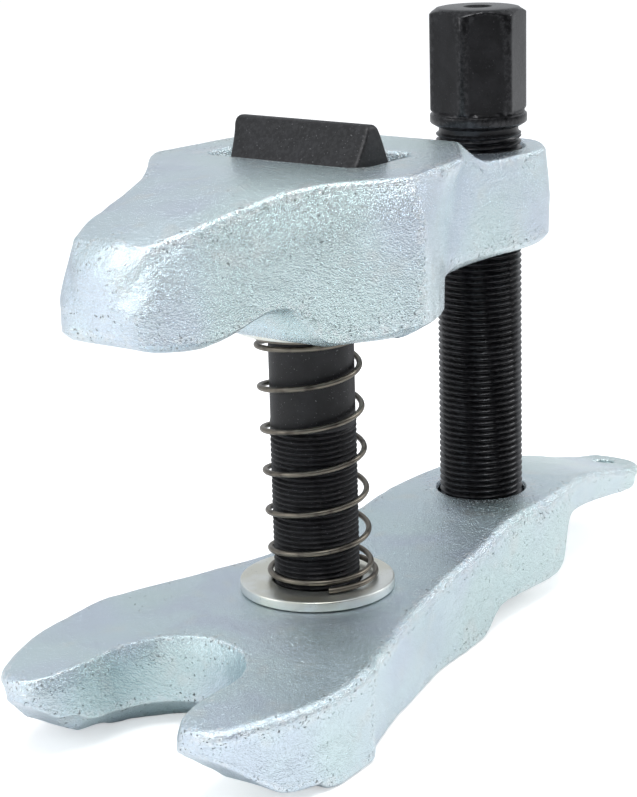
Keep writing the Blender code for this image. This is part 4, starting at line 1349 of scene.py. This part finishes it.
# ---------------------------------------------------------------- stage
@dataclass
class Studio:
    """White floor, plain soft light, a dark card for the reflections, and the camera."""

    eye: tuple = (-508.96, -356.29, 247.8)
    right: tuple = (0.591712, -0.805717, -0.026386)
    up: tuple = (0.231555, 0.138519, 0.96291)
    back: tuple = (-0.772178, -0.575875, 0.268531)
    lens: float = 101.2
    sky: float = 0.74
    floor_r: float = 6000.0

    def camera(self) -> None:
        """Camera from its axes and place."""
        data = bpy.data.cameras.new("view_camera")
        data.lens, data.sensor_width, data.sensor_fit = self.lens, 36.0, "AUTO"
        data.clip_start, data.clip_end = 0.02, 60.0
        obj = bpy.data.objects.new("view_camera", data)
        matrix = Matrix([self.right, self.up, self.back]).transposed().to_4x4()
        matrix.translation = Vector(self.eye) * MM
        obj.matrix_world = matrix
        bpy.context.scene.collection.objects.link(obj)
        bpy.context.scene.camera = obj

    def lamp(self, name: str, at: tuple, size: float, power: float,
             colour: tuple = (1.0, 1.0, 1.0)) -> None:
        """Square area lamp that looks at the tool.

        Args:
            name: lamp name.
            at: place in millimetres.
            size: side in millimetres.
            power: watts.
            colour: light colour.
        """
        data = bpy.data.lights.new(name, "AREA")
        data.size, data.energy, data.color = size * MM, power, colour
        obj = bpy.data.objects.new(name, data)
        place = Vector(at) * MM
        obj.location = place
        obj.rotation_euler = (Vector((0.0, 0.0, 0.08)) - place).to_track_quat(
            "-Z", "Y").to_euler()
        bpy.context.scene.collection.objects.link(obj)

    def world(self) -> None:
        """Pale surroundings; seen directly they are white."""
        world = bpy.data.worlds.new("studio_air")
        world.use_nodes = True
        tree = world.node_tree
        tree.nodes.clear()
        out = tree.nodes.new("ShaderNodeOutputWorld")
        mix = tree.nodes.new("ShaderNodeMixShader")
        path = tree.nodes.new("ShaderNodeLightPath")
        tree.links.new(path.outputs["Is Camera Ray"], mix.inputs[0])
        for slot, (colour, power) in enumerate((((0.93, 0.96, 1.0), self.sky),
                                                ((1.0, 1.0, 1.0), 1.0))):
            node = tree.nodes.new("ShaderNodeBackground")
            node.inputs["Color"].default_value = (*colour, 1.0)
            node.inputs["Strength"].default_value = power
            tree.links.new(node.outputs[0], mix.inputs[slot + 1])
        tree.links.new(mix.outputs[0], out.inputs[0])
        bpy.context.scene.world = world

    def card(self, name: str, first: float, last: float, far: float, low: float, high: float,
             shade_of: float) -> None:
        """Upright curved card that only reflections see.

        Args:
            name: piece name.
            first: bearing of one end, in degrees from +X.
            last: bearing of the other end.
            far: distance from the tool.
            low: height of its lower edge.
            high: height of its upper edge.
            shade_of: how pale it is.
        """
        a = np.radians(np.linspace(first, last, 32))
        rows = [np.column_stack([far * np.cos(a), far * np.sin(a), np.full(32, z)])
                for z in (low, high)]
        obj = new_mesh(name, np.concatenate(rows), grid_quads(2, 32, wrap=False))
        g = Graph(name + "_cloth")
        weave = g.noise(60.0, 1.0)
        g.finish(Base_Color=g.blend(weave, (shade_of,) * 3, (shade_of * 1.1,) * 3),
                 Roughness=1.0)
        put_on(obj, g.material)
        obj.visible_camera = obj.visible_shadow = obj.visible_diffuse = False

    def build(self) -> None:
        """Make the stage."""
        a = np.arange(96) * 2 * np.pi / 96
        rows = [np.column_stack([r * np.cos(a), r * np.sin(a), np.full(96, z)])
                for r, z in ((0.0, -0.02), (self.floor_r, -0.02), (self.floor_r, -40.0),
                             (0.0, -40.0))]
        floor = grid_object("white_floor", np.stack(rows))
        g = Graph("floor_paper")
        fleck = g.noise(30.0, 2.0)
        g.finish(Base_Color=g.blend(fleck, (0.84,) * 3, (0.86,) * 3), Roughness=0.9)
        seen = g.node("ShaderNodeLightPath", {}, {}).outputs["Is Camera Ray"]
        lift = g.node("ShaderNodeEmission", {}, {"Color": (1.0, 1.0, 1.0), "Strength": 0.45})
        both = g.node("ShaderNodeAddShader", {}, {0: g.shader.outputs[0], 1: lift.outputs[0]})
        pick = g.node("ShaderNodeMixShader", {}, {0: seen, 1: g.shader.outputs[0],
                                                  2: both.outputs[0]})
        out = next(n for n in g.tree.nodes if n.type == "OUTPUT_MATERIAL")
        g.tree.links.new(pick.outputs[0], out.inputs["Surface"])
        put_on(floor, g.material)
        self.card("dark_side", 196.0, 318.0, 1600.0, 0.0, 1500.0, 0.015)
        self.world()
        self.lamp("overhead", (-420.0, -260.0, 1150.0), 600.0, 9.5)
        self.lamp("left_soft", (-900.0, 700.0, 500.0), 500.0, 2.5)
        self.lamp("right_soft", (1250.0, -950.0, 1000.0), 420.0, 7.0)
        self.camera()
        bpy.context.scene.view_settings.view_transform = "Standard"


def main() -> None:
    """Build every sub-assembly in order, dress it and report it."""
    logging.basicConfig(level=logging.INFO, format="%(name)s: %(message)s")
    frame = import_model()
    forging = ZincForging().material()
    turning = TurnedZinc().material()
    bolt_coat = BlackCoat("black_phosphate").material()
    screw_coat = BlackCoat("black_oxide", base=(0.009, 0.009, 0.010), rough=0.30, grain=0.8,
                           depth=0.012, metal=0.6, specks=0.2, rub=0.10).material()
    wire = BareSteel("oiled_wire").material()
    steel = BareSteel("blackened_steel", (0.16, 0.16, 0.16), (0.07, 0.07, 0.07), 0.4).material()
    ball = BareSteel("ground_steel", (0.55, 0.55, 0.56), (0.42, 0.42, 0.42), 0.16).material()
    dressing = {"fork_forging": forging, "lever_forging": forging, "fork_washer": turning,
                "lever_washer": turning, "tie_bolt_body": bolt_coat,
                "forcing_spindle": screw_coat, "coil_spring": wire}
    for maker in (ForkAssembly(), Lever(), BoltSet(), Spindle(), Spring()):
        for piece in maker.build():
            put_on(piece, dressing[piece.name])
            LOG.info("%s: %d faces", piece.name, len(piece.data.polygons))
    HiddenParts().dress(frame, steel, ball)
    Studio().build()


if __name__ == "__main__":
    main()
